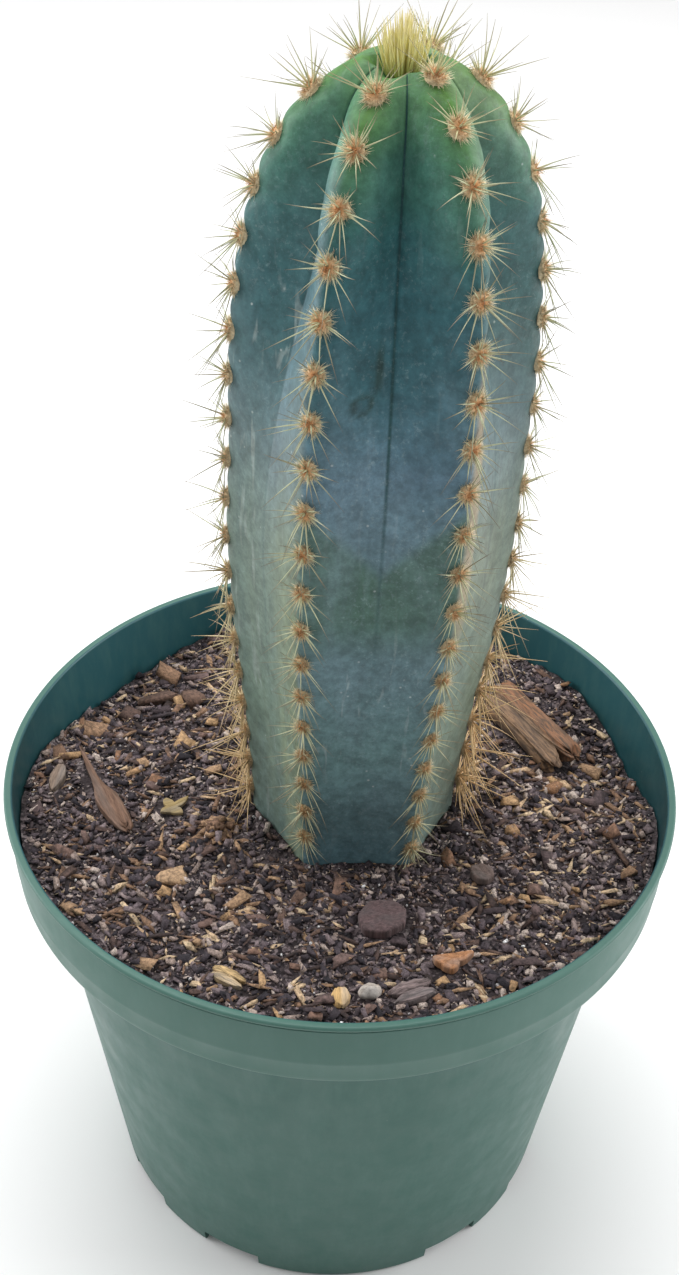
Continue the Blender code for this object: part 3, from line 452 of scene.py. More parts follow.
class Finish(Nodes):
    """A piece's material in the making, round its one shader."""

    def __init__(self, name, roughness, **settings):
        self.material = bpy.data.materials.new(name)
        self.material.use_nodes = True
        super().__init__(self.material.node_tree)
        self.shader = self.tree.nodes["Principled BSDF"]
        self.shader.inputs["Roughness"].default_value = roughness
        for key, value in settings.items():
            self.shader.inputs[key.replace("_", " ")].default_value = value
        self.place = self.node("ShaderNodeTexCoord").outputs["Object"]

    def value(self, name):
        """A number stored on the mesh's points."""
        return self.node("ShaderNodeAttribute", attribute_name=name).outputs["Fac"]

    def filled(self, kind, output, **values):
        """A node's output, with its inputs set by name."""
        made = self.node(kind)
        for key, value in values.items():
            self.feed(made.inputs[key], value)
        return made.outputs[output]

    def stretched(self, scale, turn=(0.0, 0.0, 0.0)):
        """Object coordinates turned, then scaled."""
        return self.filled("ShaderNodeMapping", "Vector", Vector=self.place, Scale=scale, Rotation=turn)

    def noise(self, scale, detail=3.0, roughness=0.5, place=None, warp=0.0):
        """Cloudy noise, on Object coordinates or a place of its own."""
        return self.filled(
            "ShaderNodeTexNoise", "Fac", Vector=place or self.place, Scale=scale, Detail=detail,
            Roughness=roughness, Distortion=warp,
        )

    def cells(self, scale, output="Distance"):
        """Cells round scattered points: the distance to the nearest, or a colour for each."""
        return self.filled("ShaderNodeTexVoronoi", output, Vector=self.place, Scale=scale)

    def ramp(self, value, stops):
        """Numbers or colours between stops: pairs of a place and a number or colour."""
        made = self.node("ShaderNodeValToRGB")
        self.feed(made.inputs["Fac"], value)
        for i, (place, level) in enumerate(stops):
            colour = level if isinstance(level, tuple) else (level, level, level)
            stop = made.color_ramp.elements[i] if i < 2 else made.color_ramp.elements.new(place)
            stop.position = place
            stop.color = (*colour, 1.0)
        return made.outputs["Color"]

    def mix(self, share, a, b, blend="MIX"):
        """Two colours mixed by a share."""
        made = self.node("ShaderNodeMix", data_type="RGBA", blend_type=blend)
        self.feed(made.inputs["Factor"], share)
        for key, colour in (("A", a), ("B", b)):
            linked = isinstance(colour, bpy.types.NodeSocket)
            self.feed(made.inputs[key], colour if linked else (*colour, 1.0))
        return made.outputs["Result"]

    def times(self, a, b):
        """The product of two numbers."""
        return self.math("MULTIPLY", a, b)

    def dim(self, colour, factor):
        """A colour times another, channel by channel."""
        return self.mix(1.0, colour, factor, "MULTIPLY")

    def zone(self, colour, name, strength, tone):
        """The colour turned towards a tone, as far as the mesh stores under this name."""
        return self.mix(self.times(self.value(name), strength), colour, tone)

    def bump(self, height, strength, distance, below=None):
        """A normal bent by a height, over another bump if one is given."""
        values = {"Height": height, "Strength": strength, "Distance": distance}
        if below:
            values["Normal"] = below
        return self.filled("ShaderNodeBump", "Normal", **values)

    def finish(self, colour=None, roughness=None, normal=None):
        """Feeds the shader and gives the material."""
        for name, value in (("Base Color", colour), ("Roughness", roughness), ("Normal", normal)):
            if value is not None:
                self.feed(self.shader.inputs[name], value)
        return self.material


def pot_finish():
    """Green moulded plastic: faint blotches, fine swirls and specks of dried splash, a blue-teal inside as
    painted shade and a paler collar as painted light.
    """
    made = Finish("pot_plastic", 0.4, IOR=1.42)
    colour = made.mix(made.noise(28.0, 4.0, 0.6), (0.025, 0.096, 0.077), (0.036, 0.114, 0.092))
    # Painted shade: the inner wall is tinted a darker blue-teal, standing for the cool shade inside the pot
    colour = made.zone(colour, "inside", 1.0, (0.021, 0.092, 0.108))
    # Painted light: the collar is paler, standing for the sheen its sides catch from the side lights
    colour = made.zone(colour, "collar", 0.38, (0.1, 0.2, 0.165))
    haze = made.noise(300.0, 5.0, 0.7, made.stretched((1.0, 1.0, 0.25)))
    colour = made.mix(made.ramp(haze, [(0.45, 0.0), (0.75, 0.25)]), colour, (0.09, 0.19, 0.165))
    speck = made.ramp(made.cells(230.0), [(0.02, 1.0), (0.06, 0.0)])
    rare = made.ramp(made.noise(90.0, 2.0), [(0.62, 0.0), (0.7, 1.0)])
    colour = made.mix(made.times(speck, rare), colour, (0.45, 0.5, 0.47))
    rough = made.ramp(made.noise(120.0, 4.0, 0.6), [(0.3, 0.34), (0.7, 0.5)])
    return made.finish(colour, rough, made.bump(made.noise(900.0, 2.0), 0.12, 0.1 * MM))


def pot_outside(z):
    """The pot's outer radius: straight body, smooth shoulder, straight collar."""
    body = np.interp(z, [HEEL_RADIUS, BODY_TOP_Z], [BODY_FOOT_RADIUS, BODY_TOP_RADIUS])
    collar_top = POT_HEIGHT - LIP_HEIGHT
    collar = np.interp(z, [COLLAR_FOOT_Z, collar_top], [COLLAR_FOOT_RADIUS, COLLAR_TOP_RADIUS])
    share = smooth((z - BODY_TOP_Z) / (COLLAR_FOOT_Z - BODY_TOP_Z))
    return body + (collar - body) * share


def arc(centre, radius, start, stop, count):
    """Points of a circular arc in the half section, angles in degrees from the outward way."""
    turn = np.radians(np.linspace(start, stop, count))
    return [(centre[0] + radius * math.cos(t), centre[1] + radius * math.sin(t)) for t in turn]


def pot_section():
    """Half section, up the inside, over the rounded lip, down the collar and body to the foot."""
    inside = [FLOOR_TOP_Z, *np.linspace(0.3 * BODY_TOP_Z, BODY_TOP_Z, 6)]
    inside += list(np.linspace(BODY_TOP_Z, COLLAR_FOOT_Z, 10)[1:]) + [COLLAR_CREASE_Z]
    section = [(0.0, FLOOR_TOP_Z)] + [(pot_outside(z) - WALL, z) for z in inside]
    bead = 0.5 * LIP_HEIGHT
    bead_z = POT_HEIGHT - bead
    section += arc((RIM_RADIUS - LIP_WIDTH + bead, bead_z), bead, 180.0, 90.0, 7)
    section += arc((RIM_RADIUS - bead, bead_z), bead, 90.0, -80.0, 13)
    foot_z = POT_HEIGHT - LIP_HEIGHT - 0.5 * LIP_GROOVE
    section += [(COLLAR_TOP_RADIUS - 0.9 * LIP_GROOVE, foot_z + 0.1 * LIP_GROOVE)]
    edge = 0.4 * LIP_GROOVE
    section += arc((COLLAR_TOP_RADIUS - edge, foot_z - 0.7 * LIP_GROOVE), edge, 120.0, 0.0, 5)
    for rank, proud in ((4, 0.0), (0, COLLAR_CREASE), (-4, 0.0)):
        z = COLLAR_CREASE_Z + rank * COLLAR_CREASE
        section.append((pot_outside(z) + proud, z))
    section += [(pot_outside(z), z) for z in np.linspace(COLLAR_FOOT_Z + 0.6 * MM, BODY_TOP_Z, 14)]
    section += [(pot_outside(z), z) for z in np.linspace(BODY_TOP_Z, HEEL_RADIUS, 10)[1:]]
    section += arc((BODY_FOOT_RADIUS - HEEL_RADIUS, HEEL_RADIUS), HEEL_RADIUS, 0.0, -90.0, 6)[1:]
    ring_inside = BODY_FOOT_RADIUS - HEEL_RADIUS - FOOT_RING_WIDTH
    section += [(ring_inside, 0.0), (ring_inside, FLOOR_UNDERSIDE_Z), (0.0, FLOOR_UNDERSIDE_Z)]
    return np.array(section)


def slot_cutter(finish):
    """Eight prisms, in four pairs, through the foot ring and the floor behind it."""
    slot_outer = BODY_FOOT_RADIUS - SLOT_OUTER_INSET
    slot_inner = slot_outer - SLOT_DEPTH
    past_wall = BODY_FOOT_RADIUS + 2.0 * CUTTER_SPARE
    outline = np.array([
        (slot_inner, -CUTTER_SPARE), (past_wall, -CUTTER_SPARE), (past_wall, NOTCH_HEIGHT),
        (slot_outer, NOTCH_HEIGHT), (slot_outer, FLOOR_TOP_Z + CUTTER_SPARE),
        (slot_inner, FLOOR_TOP_Z + CUTTER_SPARE),
    ])
    count = len(outline)
    quarters, sides = np.meshgrid(np.arange(4), [-1.0, 1.0], indexing="ij")
    angles = 45.0 + 90.0 * quarters.ravel() + NOTCH_TURN + sides.ravel() * NOTCH_PAIR_OFFSET
    flat = lathe(outline, angles).swapaxes(0, 1)
    half = 0.5 * NOTCH_WIDTH * heading(angles + 90.0)[:, None, :]
    points = np.stack([flat - half, flat + half], axis=1).reshape(-1, 3)
    i = np.arange(count)
    k = (i + 1) % count
    prism = [np.stack([i, i + count, k + count, k], axis=-1), i[None], (i + count)[None, ::-1]]
    faces = [copies_of(part, 2 * count, len(angles)) for part in prism]
    return add_piece("slot_cutter", points, faces, finish)


def make_pot():
    """The pot: its half section turned about Z, then the drain slots cut through."""
    section = pot_section()
    angles = 360.0 / POT_STEPS * np.arange(POT_STEPS)
    rings = lathe(section[1:-1], angles)
    points = np.concatenate([rings.reshape(-1, 3), section[[0, -1], 1:] * UP])
    # inside marks the inner wall, which the finish tints as painted shade
    within = section[1:-1, 0] < pot_outside(section[1:-1, 1]) - 0.7 * WALL
    inside = np.append(np.repeat(within, POT_STEPS), [1.0, 0.0])
    # collar: how much painted light the finish puts on the collar's outside, rising over the 7 mm above the
    # body
    collar = smooth((rings[..., 2].ravel() - BODY_TOP_Z) / COLLAR_FADE)
    collar = np.append(collar, [0.0, 0.0]) * (1.0 - inside)
    finish = pot_finish()
    faces = closed_faces(len(section) - 2, POT_STEPS, inside_out=True)
    pot = add_piece("pot_shell", points, faces, finish, {"inside": inside, "collar": collar})
    cutter = slot_cutter(finish)
    cut = pot.modifiers.new("drain_slots", "BOOLEAN")
    cut.operation = "DIFFERENCE"
    cut.object = cutter
    apply_modifiers(pot)
    bpy.data.objects.remove(cutter)
    pot.data.set_sharp_from_angle(angle=math.radians(SHARP_FROM))
    dress(pot, ["pot"])


def apply_modifiers(piece):
    """Replaces the piece's mesh by the mesh that its modifiers make of it."""
    graph = bpy.context.evaluated_depsgraph_get()
    made = bpy.data.meshes.new_from_object(piece.evaluated_get(graph))
    piece.modifiers.clear()
    piece.data = made


def crown_shape(angles):
    """Height and power of the crown in each direction: the front-left rib is lower and rounder."""
    away = np.abs(wrapped(angles - FIRST_RIB)) * RIBS / 360.0
    low = 1.0 - smooth(away)
    return STEM_HEIGHT - LOW_RIB_DROP * low, CROWN_POWER - LOW_RIB_POWER * low


def crest_radius(height, angles):
    """Radius of the ribs' crests: swelling to the belly, then closing as a blunt crown."""
    top, power = crown_shape(angles)
    lower = CREST_AT_SOIL + (CREST_AT_BELLY - CREST_AT_SOIL) * smooth(height / BELLY_HEIGHT)
    rise = np.clip((height - BELLY_HEIGHT) / (top - BELLY_HEIGHT), 0.0, 1.0)
    upper = CREST_AT_BELLY * np.sqrt(1.0 - rise**power)
    depth = np.clip(-height / STEM_BURIED, 0.0, 1.0)
    root = (CREST_AT_SOIL - ROOT_RADIUS) * depth
    return np.where(height > BELLY_HEIGHT, upper, lower) - root


def groove_share(height, top):
    """The grooves' radius as a share of the crests': a line on the lower body, deep above it."""
    fall = smooth((height - GROOVE_FALL[0]) / (GROOVE_FALL[1] - GROOVE_FALL[0]))
    end = smooth((height - CROWN_HEIGHT) / (top - CROWN_HEIGHT))
    share = GROOVE_AT_SOIL + (GROOVE_AT_CROWN - GROOVE_AT_SOIL) * fall
    return share + (GROOVE_AT_DIMPLE - GROOVE_AT_CROWN) * end


def soften(t, width):
    """0 to 1 as t goes 0 to 1, with the corner at 0 rounded over about this width."""
    return (np.sqrt(t * t + width * width) - width) / (math.sqrt(1.0 + width * width) - width)


def from_crest(angles):
    """How far each direction lies from its crest, from 0 on it to 1 in the groove."""
    half = 180.0 / RIBS
    return np.abs((angles - FIRST_RIB + half) % (2.0 * half) - half) / half


def section_radius(angles, height):
    """Radius of the stem: straight flanks from crest to groove, with both rounded. Towards the
    crown a power of the way across fills the flanks out to lobes."""
    across = 1.0 - soften(1.0 - soften(from_crest(angles), CREST_ROUNDING), GROOVE_ROUNDING)
    lobed = smooth((height - LOBE_START) / (STEM_HEIGHT - 8.0 * MM - LOBE_START))
    across = across ** (1.0 + LOBE_FULLNESS * lobed)
    crest = np.maximum(crest_radius(height, angles), 0.1 * MM)
    groove = crest * groove_share(height, crown_shape(angles)[0])
    turn = math.pi / RIBS
    chord = crest * np.sin(turn * across) + groove * np.sin(turn * (1.0 - across))
    return crest * groove * math.sin(turn) / chord


def stem_centre(height):
    """The stem's axis at heights above the soil: it leans a little to the side."""
    x = STEM_FOOT[0] + STEM_LEAN[0] * height
    y = STEM_FOOT[1] + STEM_LEAN[1] * height
    return np.stack([x, y, STEM_SOIL_Z + height], axis=-1)


def rib_angle(rib):
    """A rib's direction. Ribs are counted from 0, from the front-left one to the right."""
    return FIRST_RIB + 360.0 / RIBS * rib


def dimple_edge(angles):
    """Height at which the crown has closed to the dimple's radius."""
    top, power = crown_shape(angles)
    share = (DIMPLE_RADIUS / CREST_AT_BELLY) ** 2
    return BELLY_HEIGHT + (top - BELLY_HEIGHT) * (1.0 - share) ** (1.0 / power)


def crest_line(rib):
    """Heights down a rib's crest from the apex, and the length along it to each."""
    angle = rib_angle(rib)
    heights = np.linspace(crown_shape(angle)[0], 0.0, 4000)
    radii = crest_radius(heights, angle)
    steps = np.hypot(np.diff(heights), np.diff(radii))
    return heights, np.concatenate([[0.0], np.cumsum(steps)])


def areole_heights(rib):
    """Heights of one rib's areoles, from the crown down, at a slowly shortening pitch."""
    heights, lengths = crest_line(rib)
    ranks = np.arange(40)
    places = FIRST_AREOLES[rib] + AREOLE_PITCH * ranks - 0.5 * PITCH_LOSS * ranks * (ranks - 1)
    found = np.interp(places, lengths, heights)
    return found[found > LOWEST_AREOLE]


def crenate(points, angles, heights, out):
    """Swells the crests between areoles: a sine squared along the crest, fading to the flanks."""
    swell = np.zeros_like(heights)
    for rib in range(RIBS):
        marks = areole_heights(rib)
        near = np.abs(wrapped(angles - rib_angle(rib))) * RIBS / 180.0
        rank = np.interp(heights, marks[::-1], np.arange(len(marks))[::-1], left=0.0, right=0.0)
        amount = CRENATION[0] + (CRENATION[1] - CRENATION[0]) * smooth(heights / STEM_HEIGHT * 2.2 - 1.0)
        wave = np.sin(math.pi * rank) ** 2 * amount
        ends = smooth((heights - marks[-1]) / (6.0 * MM))
        ends = ends * smooth((marks[0] - heights + 2.0 * MM) / (4.0 * MM))
        swell = swell + wave * ends * np.exp(-((near / CRENATION_WIDTH) ** 2))
    return points + swell[..., None] * out


def stem_grid():
    """Angles and heights of the stem's grid: closer together at each crest and groove, and
    spaced by the length along the crest, so that the crown's columns close together. The
    spacing is that of the rib opposite the first."""
    u = -1.0 + 2.0 * np.arange(STEM_COLUMNS) / STEM_COLUMNS
    offsets = 180.0 / RIBS * (u - 0.1 * np.sin(2.0 * math.pi * u))
    angles = (offsets[None, :] + rib_angle(np.arange(RIBS))[:, None]).ravel()
    rib = RIBS // 2
    heights, lengths = crest_line(rib)
    edge = float(dimple_edge(rib_angle(rib)))
    stop = np.interp(edge, heights[::-1], lengths[::-1])
    places = np.linspace(lengths[-1], stop, STEM_ROWS)
    common = np.interp(places, lengths, heights)
    share = np.clip((common - SHOULDER_HEIGHT) / (edge - SHOULDER_HEIGHT), 0.0, 1.0)
    edges = dimple_edge(angles)[None, :]
    grid = np.where(
        common[:, None] < SHOULDER_HEIGHT,
        common[:, None],
        SHOULDER_HEIGHT + (edges - SHOULDER_HEIGHT) * share[:, None],
    )
    root = -STEM_BURIED * np.linspace(0.98, 0.0, ROOT_ROWS, endpoint=False)[:, None]
    grid = np.concatenate([np.broadcast_to(root, (ROOT_ROWS, len(angles))), grid])
    return np.broadcast_to(angles, grid.shape), grid


def make_stem():
    """The whole stem as one skin, from its rounded root to the crown's dimple."""
    angles, heights = stem_grid()
    out = heading(angles)
    points = stem_centre(heights) + section_radius(angles, heights)[..., None] * out
    points = crenate(points, angles, heights, out)
    fade = smooth((heights - 4.0 * MM) / (20.0 * MM)) * smooth((165.0 * MM - heights) / (20.0 * MM))
    waves = sum(size * wobble(points, length, seed) for size, length, seed in SKIN_WAVES)
    crease = smooth((from_crest(angles) - CREASE_START) / (1.0 - CREASE_START))
    crease = crease * np.interp(heights, [0.0, STEM_HEIGHT], CREASE_DEPTH) * groove_seam(angles, heights)
    points = points + (waves * (0.25 + 0.75 * fade) - crease)[..., None] * out
    rows, columns = heights.shape
    edge, middle, steps = points[-1], stem_centre(DIMPLE_FLOOR), len(DIMPLE_SHARES)
    shares = np.array(DIMPLE_SHARES)[:, None, None]
    dips = smooth((0.95 - shares) / 0.45)
    inner = middle + (edge - middle) * shares
    inner[..., 2] = edge[None, :, 2] * (1.0 - dips[..., 0]) + middle[2] * dips[..., 0]
    points = np.concatenate([points, inner]).reshape(-1, 3)
    points = np.concatenate([points, [stem_centre(-STEM_BURIED), middle]])
    heights = np.concatenate([heights, np.broadcast_to(heights[-1:], (steps, columns))])
    angles = np.concatenate([angles, angles[:steps]])
    values = {"across": from_crest(angles), "rise": heights / STEM_HEIGHT, **skin_zones(angles, heights)}
    values = {key: np.append(numbers.ravel(), [0.0, 0.0]) for key, numbers in values.items()}
    stem = add_piece("stem_skin", points, closed_faces(rows + steps, columns), stem_finish(), values)
    dress(stem, ["stem"])


def side_faces(angles):
    """Bearings from -180 to 180, and shares of the left and right side faces, none behind."""
    bearing = wrapped(angles)
    ahead = smooth((176.0 - np.abs(bearing)) / 36.0)
    left = smooth((FIRST_RIB - bearing) / 4.0) * ahead
    right = smooth((bearing - FIRST_RIB - 360.0 / RIBS) / 4.0) * ahead
    return bearing, left, right


def by_height(mm, table):
    """Shares at these heights, by straight lines between a table's pairs of height and share."""
    return np.interp(mm, *np.array(table).T)


def groove_seam(angles, heights):
    """How plain the line in each groove is, in the depth of its crease and in its painted shade:
    crisp on the front face above the olive band, faint at its foot, and nearly lost on the side
    faces below the shoulder."""
    _, left, right = side_faces(angles)
    front = by_height(heights / MM, FRONT_SEAM)
    return front + (by_height(heights / MM, SIDE_SEAM) - front) * np.maximum(left, right)


def skin_zones(angles, heights):
    """Where the skin changes, as shares from 0 to 1. The bloom ends below in a V that hangs
    from the crests to the groove of the front face. The flanks fade with depth, the left one
    more beside its front crest, with a blue band on each and a tan strip by the right crest.
    Painted shade darkens and yellows both side faces, and a dark line of painted shade runs
    down each groove. A scar and a ring lie beside the front groove, each a bell curve about
    its place."""
    bearing, left, right = side_faces(angles)
    across, mm = from_crest(angles), heights / MM
    front = 1.0 - np.maximum(left, right)
    under = smooth((99.0 - 14.0 * across - mm) / 5.0)
    olive = front * under * (1.0 - smooth((74.0 - mm) / 14.0))
    faded = left * by_height(mm, LEFT_FADE) * (0.85 + 0.75 * smooth((bearing + 50.0) / 8.0))
    faded = faded + right * by_height(mm, RIGHT_FADE)
    # Painted shade on both side faces
    shade = left * by_height(mm, LEFT_SHADE) + right * by_height(mm, RIGHT_SHADE)
    cool = left * smooth((bearing + 58.0) / 3.0) * smooth((mm - 80.0) / 25.0) * smooth((166.0 - mm) / 12.0)
    band = smooth((bearing - 46.0) / 5.0) * smooth((90.0 - bearing) / 14.0)
    cool = cool + 1.1 * right * band * smooth((mm - 84.0) / 14.0) * smooth((134.0 - mm) / 20.0)
    tan = right * smooth((45.0 - bearing) / 4.0) * smooth((mm - 55.0) / 25.0) * smooth((130.0 - mm) / 12.0)
    scar = np.exp(-(((bearing + 3.5) / 2.6) ** 2) - ((mm - 124.0) / 5.0) ** 2)
    ring = np.hypot((bearing + 9.5) / 3.6, (mm - 118.0) / 1.7)
    scar = smooth(1.5 * (scar + 0.7 * np.exp(-(((ring - 1.0) / 0.35) ** 2))) - 0.25)
    dust = np.exp(-(((mm - 40.0 - 12.0 * across) / 14.0) ** 2)) * front
    dust = dust + 0.6 * left * smooth((150.0 - mm) / 30.0)
    return {
        "green": 0.8 + 0.2 * front, "olive": olive, "faded": faded, "shade": shade, "warm": right,
        "cool": cool, "tan": tan, "scar": scar, "dust": dust, "painted_groove_shade": groove_seam(angles, heights),
    }


def stem_finish():
    """Waxy blue-green skin: dusty foot, paler low down as painted light, lavender bloom at the waist,
    deep teal shoulders, fresh green crests at the crown, a dark line of painted shade in each
    groove, painted shade on the side faces, pale specks, streaks and scars."""
    made = Finish("stem_skin", 0.5, IOR=1.35)
    rise, across, dust = (made.value(name) for name in ("rise", "across", "dust"))
    drift = made.math("MULTIPLY_ADD", made.noise(45.0, 3.0, 0.55), 0.09, -0.045)
    place = made.math("ADD", rise, drift)
    colour = made.zone(made.ramp(place, SKIN_TONES_AND_FOOT_LIGHT), "olive", 1.0, (0.062, 0.13, 0.102))
    streaks = made.noise(90.0, 4.0, 0.65, made.stretched((1.0, 1.0, 0.22)), 0.6)
    low = made.ramp(rise, [(0.0, 0.55), (0.5, 1.0), (0.66, 0.9), (0.76, 0.45), (1.0, 0.2)])
    bloom = made.times(made.ramp(streaks, [(0.45, 0.0), (0.72, 0.3)]), low)
    colour = made.mix(bloom, colour, (0.24, 0.34, 0.4))
    stripes = made.noise(170.0, 3.0, 0.6, made.stretched((1.0, 1.0, 0.06)))
    old = made.mix(made.value("warm"), (0.33, 0.365, 0.2), (0.38, 0.36, 0.215))
    colour = made.zone(colour, "faded", made.ramp(stripes, [(0.3, 0.72), (0.7, 1.22)]), old)
    colour = made.zone(colour, "cool", 0.2, (0.25, 0.34, 0.45))
    colour = made.zone(colour, "tan", 0.7, (0.56, 0.41, 0.29))
    crest = made.ramp(across, [(0.0, 1.0), (0.35, 0.4), (0.6, 0.0)])
    young = made.ramp(place, [(0.84, 0.0), (0.93, 0.6), (0.98, 1.0)])
    colour = made.zone(colour, "green", made.times(crest, young), (0.076, 0.192, 0.03))
    colour = made.zone(colour, "scar", 0.85, (0.02, 0.05, 0.045))
    # Painted shade: a dark line down each groove, along its crease
    colour = made.zone(colour, "painted_groove_shade", made.ramp(across, [(0.962, 0.0), (0.99, 1.0)]), (0.02, 0.07, 0.075))
    dots = made.ramp(made.cells(300.0), [(0.03, 1.0), (0.1, 0.0)])
    some = made.math("ADD", made.noise(70.0, 2.0), made.times(dust, 0.17))
    some = made.ramp(some, [(0.55, 0.0), (0.66, 0.9)])
    colour = made.mix(made.times(dots, some), colour, (0.5, 0.55, 0.55))
    scratch = made.noise(420.0, 2.0, 0.5, made.stretched((1.0, 1.0, 0.12), (0.0, 0.25, 0.0)), 0.8)
    scratch = made.ramp(scratch, [(0.62, 0.0), (0.7, 0.4)])
    scratch = made.times(scratch, made.ramp(dust, [(0.1, 0.15), (0.5, 1.0)]))
    colour = made.mix(scratch, colour, (0.4, 0.46, 0.46))
    flecks = made.ramp(made.noise(1000.0, 4.0, 0.8), [(0.54, 0.0), (0.66, 0.5)])
    worn = made.ramp(made.noise(60.0, 3.0, 0.6), [(0.35, 0.15), (0.6, 1.0)])
    lasting = made.ramp(rise, [(0.0, 1.0), (0.6, 0.8), (0.8, 0.6), (1.0, 0.3)])
    colour = made.mix(made.times(made.times(flecks, worn), lasting), colour, (0.27, 0.37, 0.39))
    colour = made.dim(colour, made.ramp(made.noise(420.0, 5.0, 0.75), [(0.38, 0.8), (0.62, 1.2)]))
    cloud = made.noise(130.0, 4.0, 0.7, warp=0.5)
    colour = made.dim(colour, made.ramp(cloud, [(0.36, 0.86), (0.64, 1.12)]))
    # Painted shade: the side faces darkened and yellowed
    colour = made.mix(made.value("shade"), colour, made.dim(colour, (0.5, 0.52, 0.4)))
    rough = made.ramp(streaks, [(0.3, 0.42), (0.75, 0.64)])
    pores = made.bump(made.noise(1100.0, 4.0, 0.7), 0.35, 0.15 * MM)
    return made.finish(colour, rough, made.bump(streaks, 0.35, 0.3 * MM, pores))


def rings_round(along, sides):
    """Unit circles of this many points, square to each way."""
    aside = unit(np.cross(along, np.array(NO_SPINE_WAY)))
    turn = 2.0 * math.pi * np.arange(sides)[:, None] / sides
    over = np.cross(along, aside)
    return np.cos(turn) * aside[..., None, :] + np.sin(turn) * over[..., None, :]


def tube_mesh(paths, widths, sides):
    """Round rods along paths, all at once: a ring square to each path at every station, closed
    by a point at both ends. Returns points, faces, and how far along its rod each point is."""
    count, steps = paths.shape[:2]
    rings = rings_round(unit(np.gradient(paths, axis=1)), sides)
    rings = paths[:, :, None] + 0.5 * widths[:, :, None, None] * rings
    points = np.concatenate([rings.reshape(count, -1, 3), paths[:, :1], paths[:, -1:]], axis=1)
    faces = [copies_of(part, steps * sides + 2, count) for part in closed_faces(steps, sides)]
    share = np.append(np.repeat(np.linspace(0.0, 1.0, steps), sides), [0.0, 1.0])
    return points.reshape(-1, 3), faces, np.tile(share, count)


def add_rods(name, paths, thick, taper, finish, values):
    """A piece of rods that taper with a power of the way along, and numbers for each rod."""
    power, drawn = taper
    widths = thick[:, None] * (1.0 - np.linspace(0.0, 1.0, paths.shape[1]) ** power * drawn)
    points, faces, share = tube_mesh(paths, widths, SPINE_SIDES)
    values = {key: np.repeat(numbers, len(share) // len(paths)) for key, numbers in values.items()}
    return add_piece(name, points, faces, finish, {"along": share, **values})


def on_crest(heights, rib):
    """Points on a rib's crest at these heights."""
    angle = rib_angle(rib)
    return stem_centre(heights) + crest_radius(heights, angle)[:, None] * heading(angle)


def areole_frames(rib):
    """Seats of a rib's areoles on its crest, with their outward, upward and sideways ways."""
    heights, step = areole_heights(rib), 0.2 * MM
    side = heading(rib_angle(rib) + 90.0)
    up = unit(on_crest(heights + step, rib) - on_crest(heights - step, rib))
    return heights, on_crest(heights, rib), unit(np.cross(up, -side)), up, np.broadcast_to(side, up.shape)


def piece_mask(x, y):
    """0 under a loose piece and 1 clear of it, so that each lies on a level bed."""
    mask = np.ones_like(x)
    for name, _, length, width, *_ in LOOSE_PIECES:
        middle = piece_middle(name)
        away = np.hypot(x - middle[0], y - middle[1]) / (0.5 * (length + width) * MM)
        mask = mask * smooth(away - 0.4)
    return mask


def piece_middle(name):
    """Middle of a loose node's underside."""
    low, high = (np.array(c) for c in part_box(name))
    return np.array([*(0.5 * (low + high))[:2], low[2]])


def soil_dip(x, y):
    """How far the mix has sunk along the pot's wall, at the back left and at the right."""
    bearings = bearing_of(x, y)
    dip = 0.0
    for middle, half_width, depth in SOIL_DIPS:
        away = np.abs(wrapped(bearings - middle))
        dip = dip + depth * (1.0 - smooth(away / half_width))
    return dip * smooth((np.hypot(x, y) - DIP_START) / DIP_REACH)


def soil_height(x, y):
    """Top of the mix: a plane that rises towards the front, with lumps of crossed waves, and
    sunk places along the wall."""
    k = 2.0 * math.pi / SOIL_LUMP_LENGTH
    lumps = np.sin(k * x + 1.3 * np.sin(0.6 * k * y)) * np.cos(0.9 * k * y + 0.8)
    lumps = lumps + 0.6 * np.sin(0.45 * k * (x + y) + 2.0) * np.cos(0.5 * k * (x - y))
    level = SOIL_LEVEL - SOIL_RISE * y + SOIL_LUMP * lumps * piece_mask(x, y)
    return level - soil_dip(x, y)


def mix_relief(x, y):
    """Fine rise and fall of the mix's top: three sizes of wobble added."""
    flat = np.stack([x, y, np.zeros_like(x)], axis=-1)
    return RELIEF_HEIGHT * sum(share * wobble(flat, length, seed) for share, length, seed in RELIEF_WAVES)


def bent_paths(starts, ways, lengths, drops, steps):
    """Paths from starts along ways, bending by the drop vectors with the square of the share."""
    t = np.linspace(0.0, 1.0, steps)[None, :, None]
    return starts[:, None] + ways[:, None] * lengths[:, None, None] * t + drops[:, None] * t**2


def front_share(rib):
    """1 for the two ribs that face the viewer, less for those at the sides and behind."""
    return max(0.0, math.cos(math.radians(rib_angle(rib)))) ** 0.5


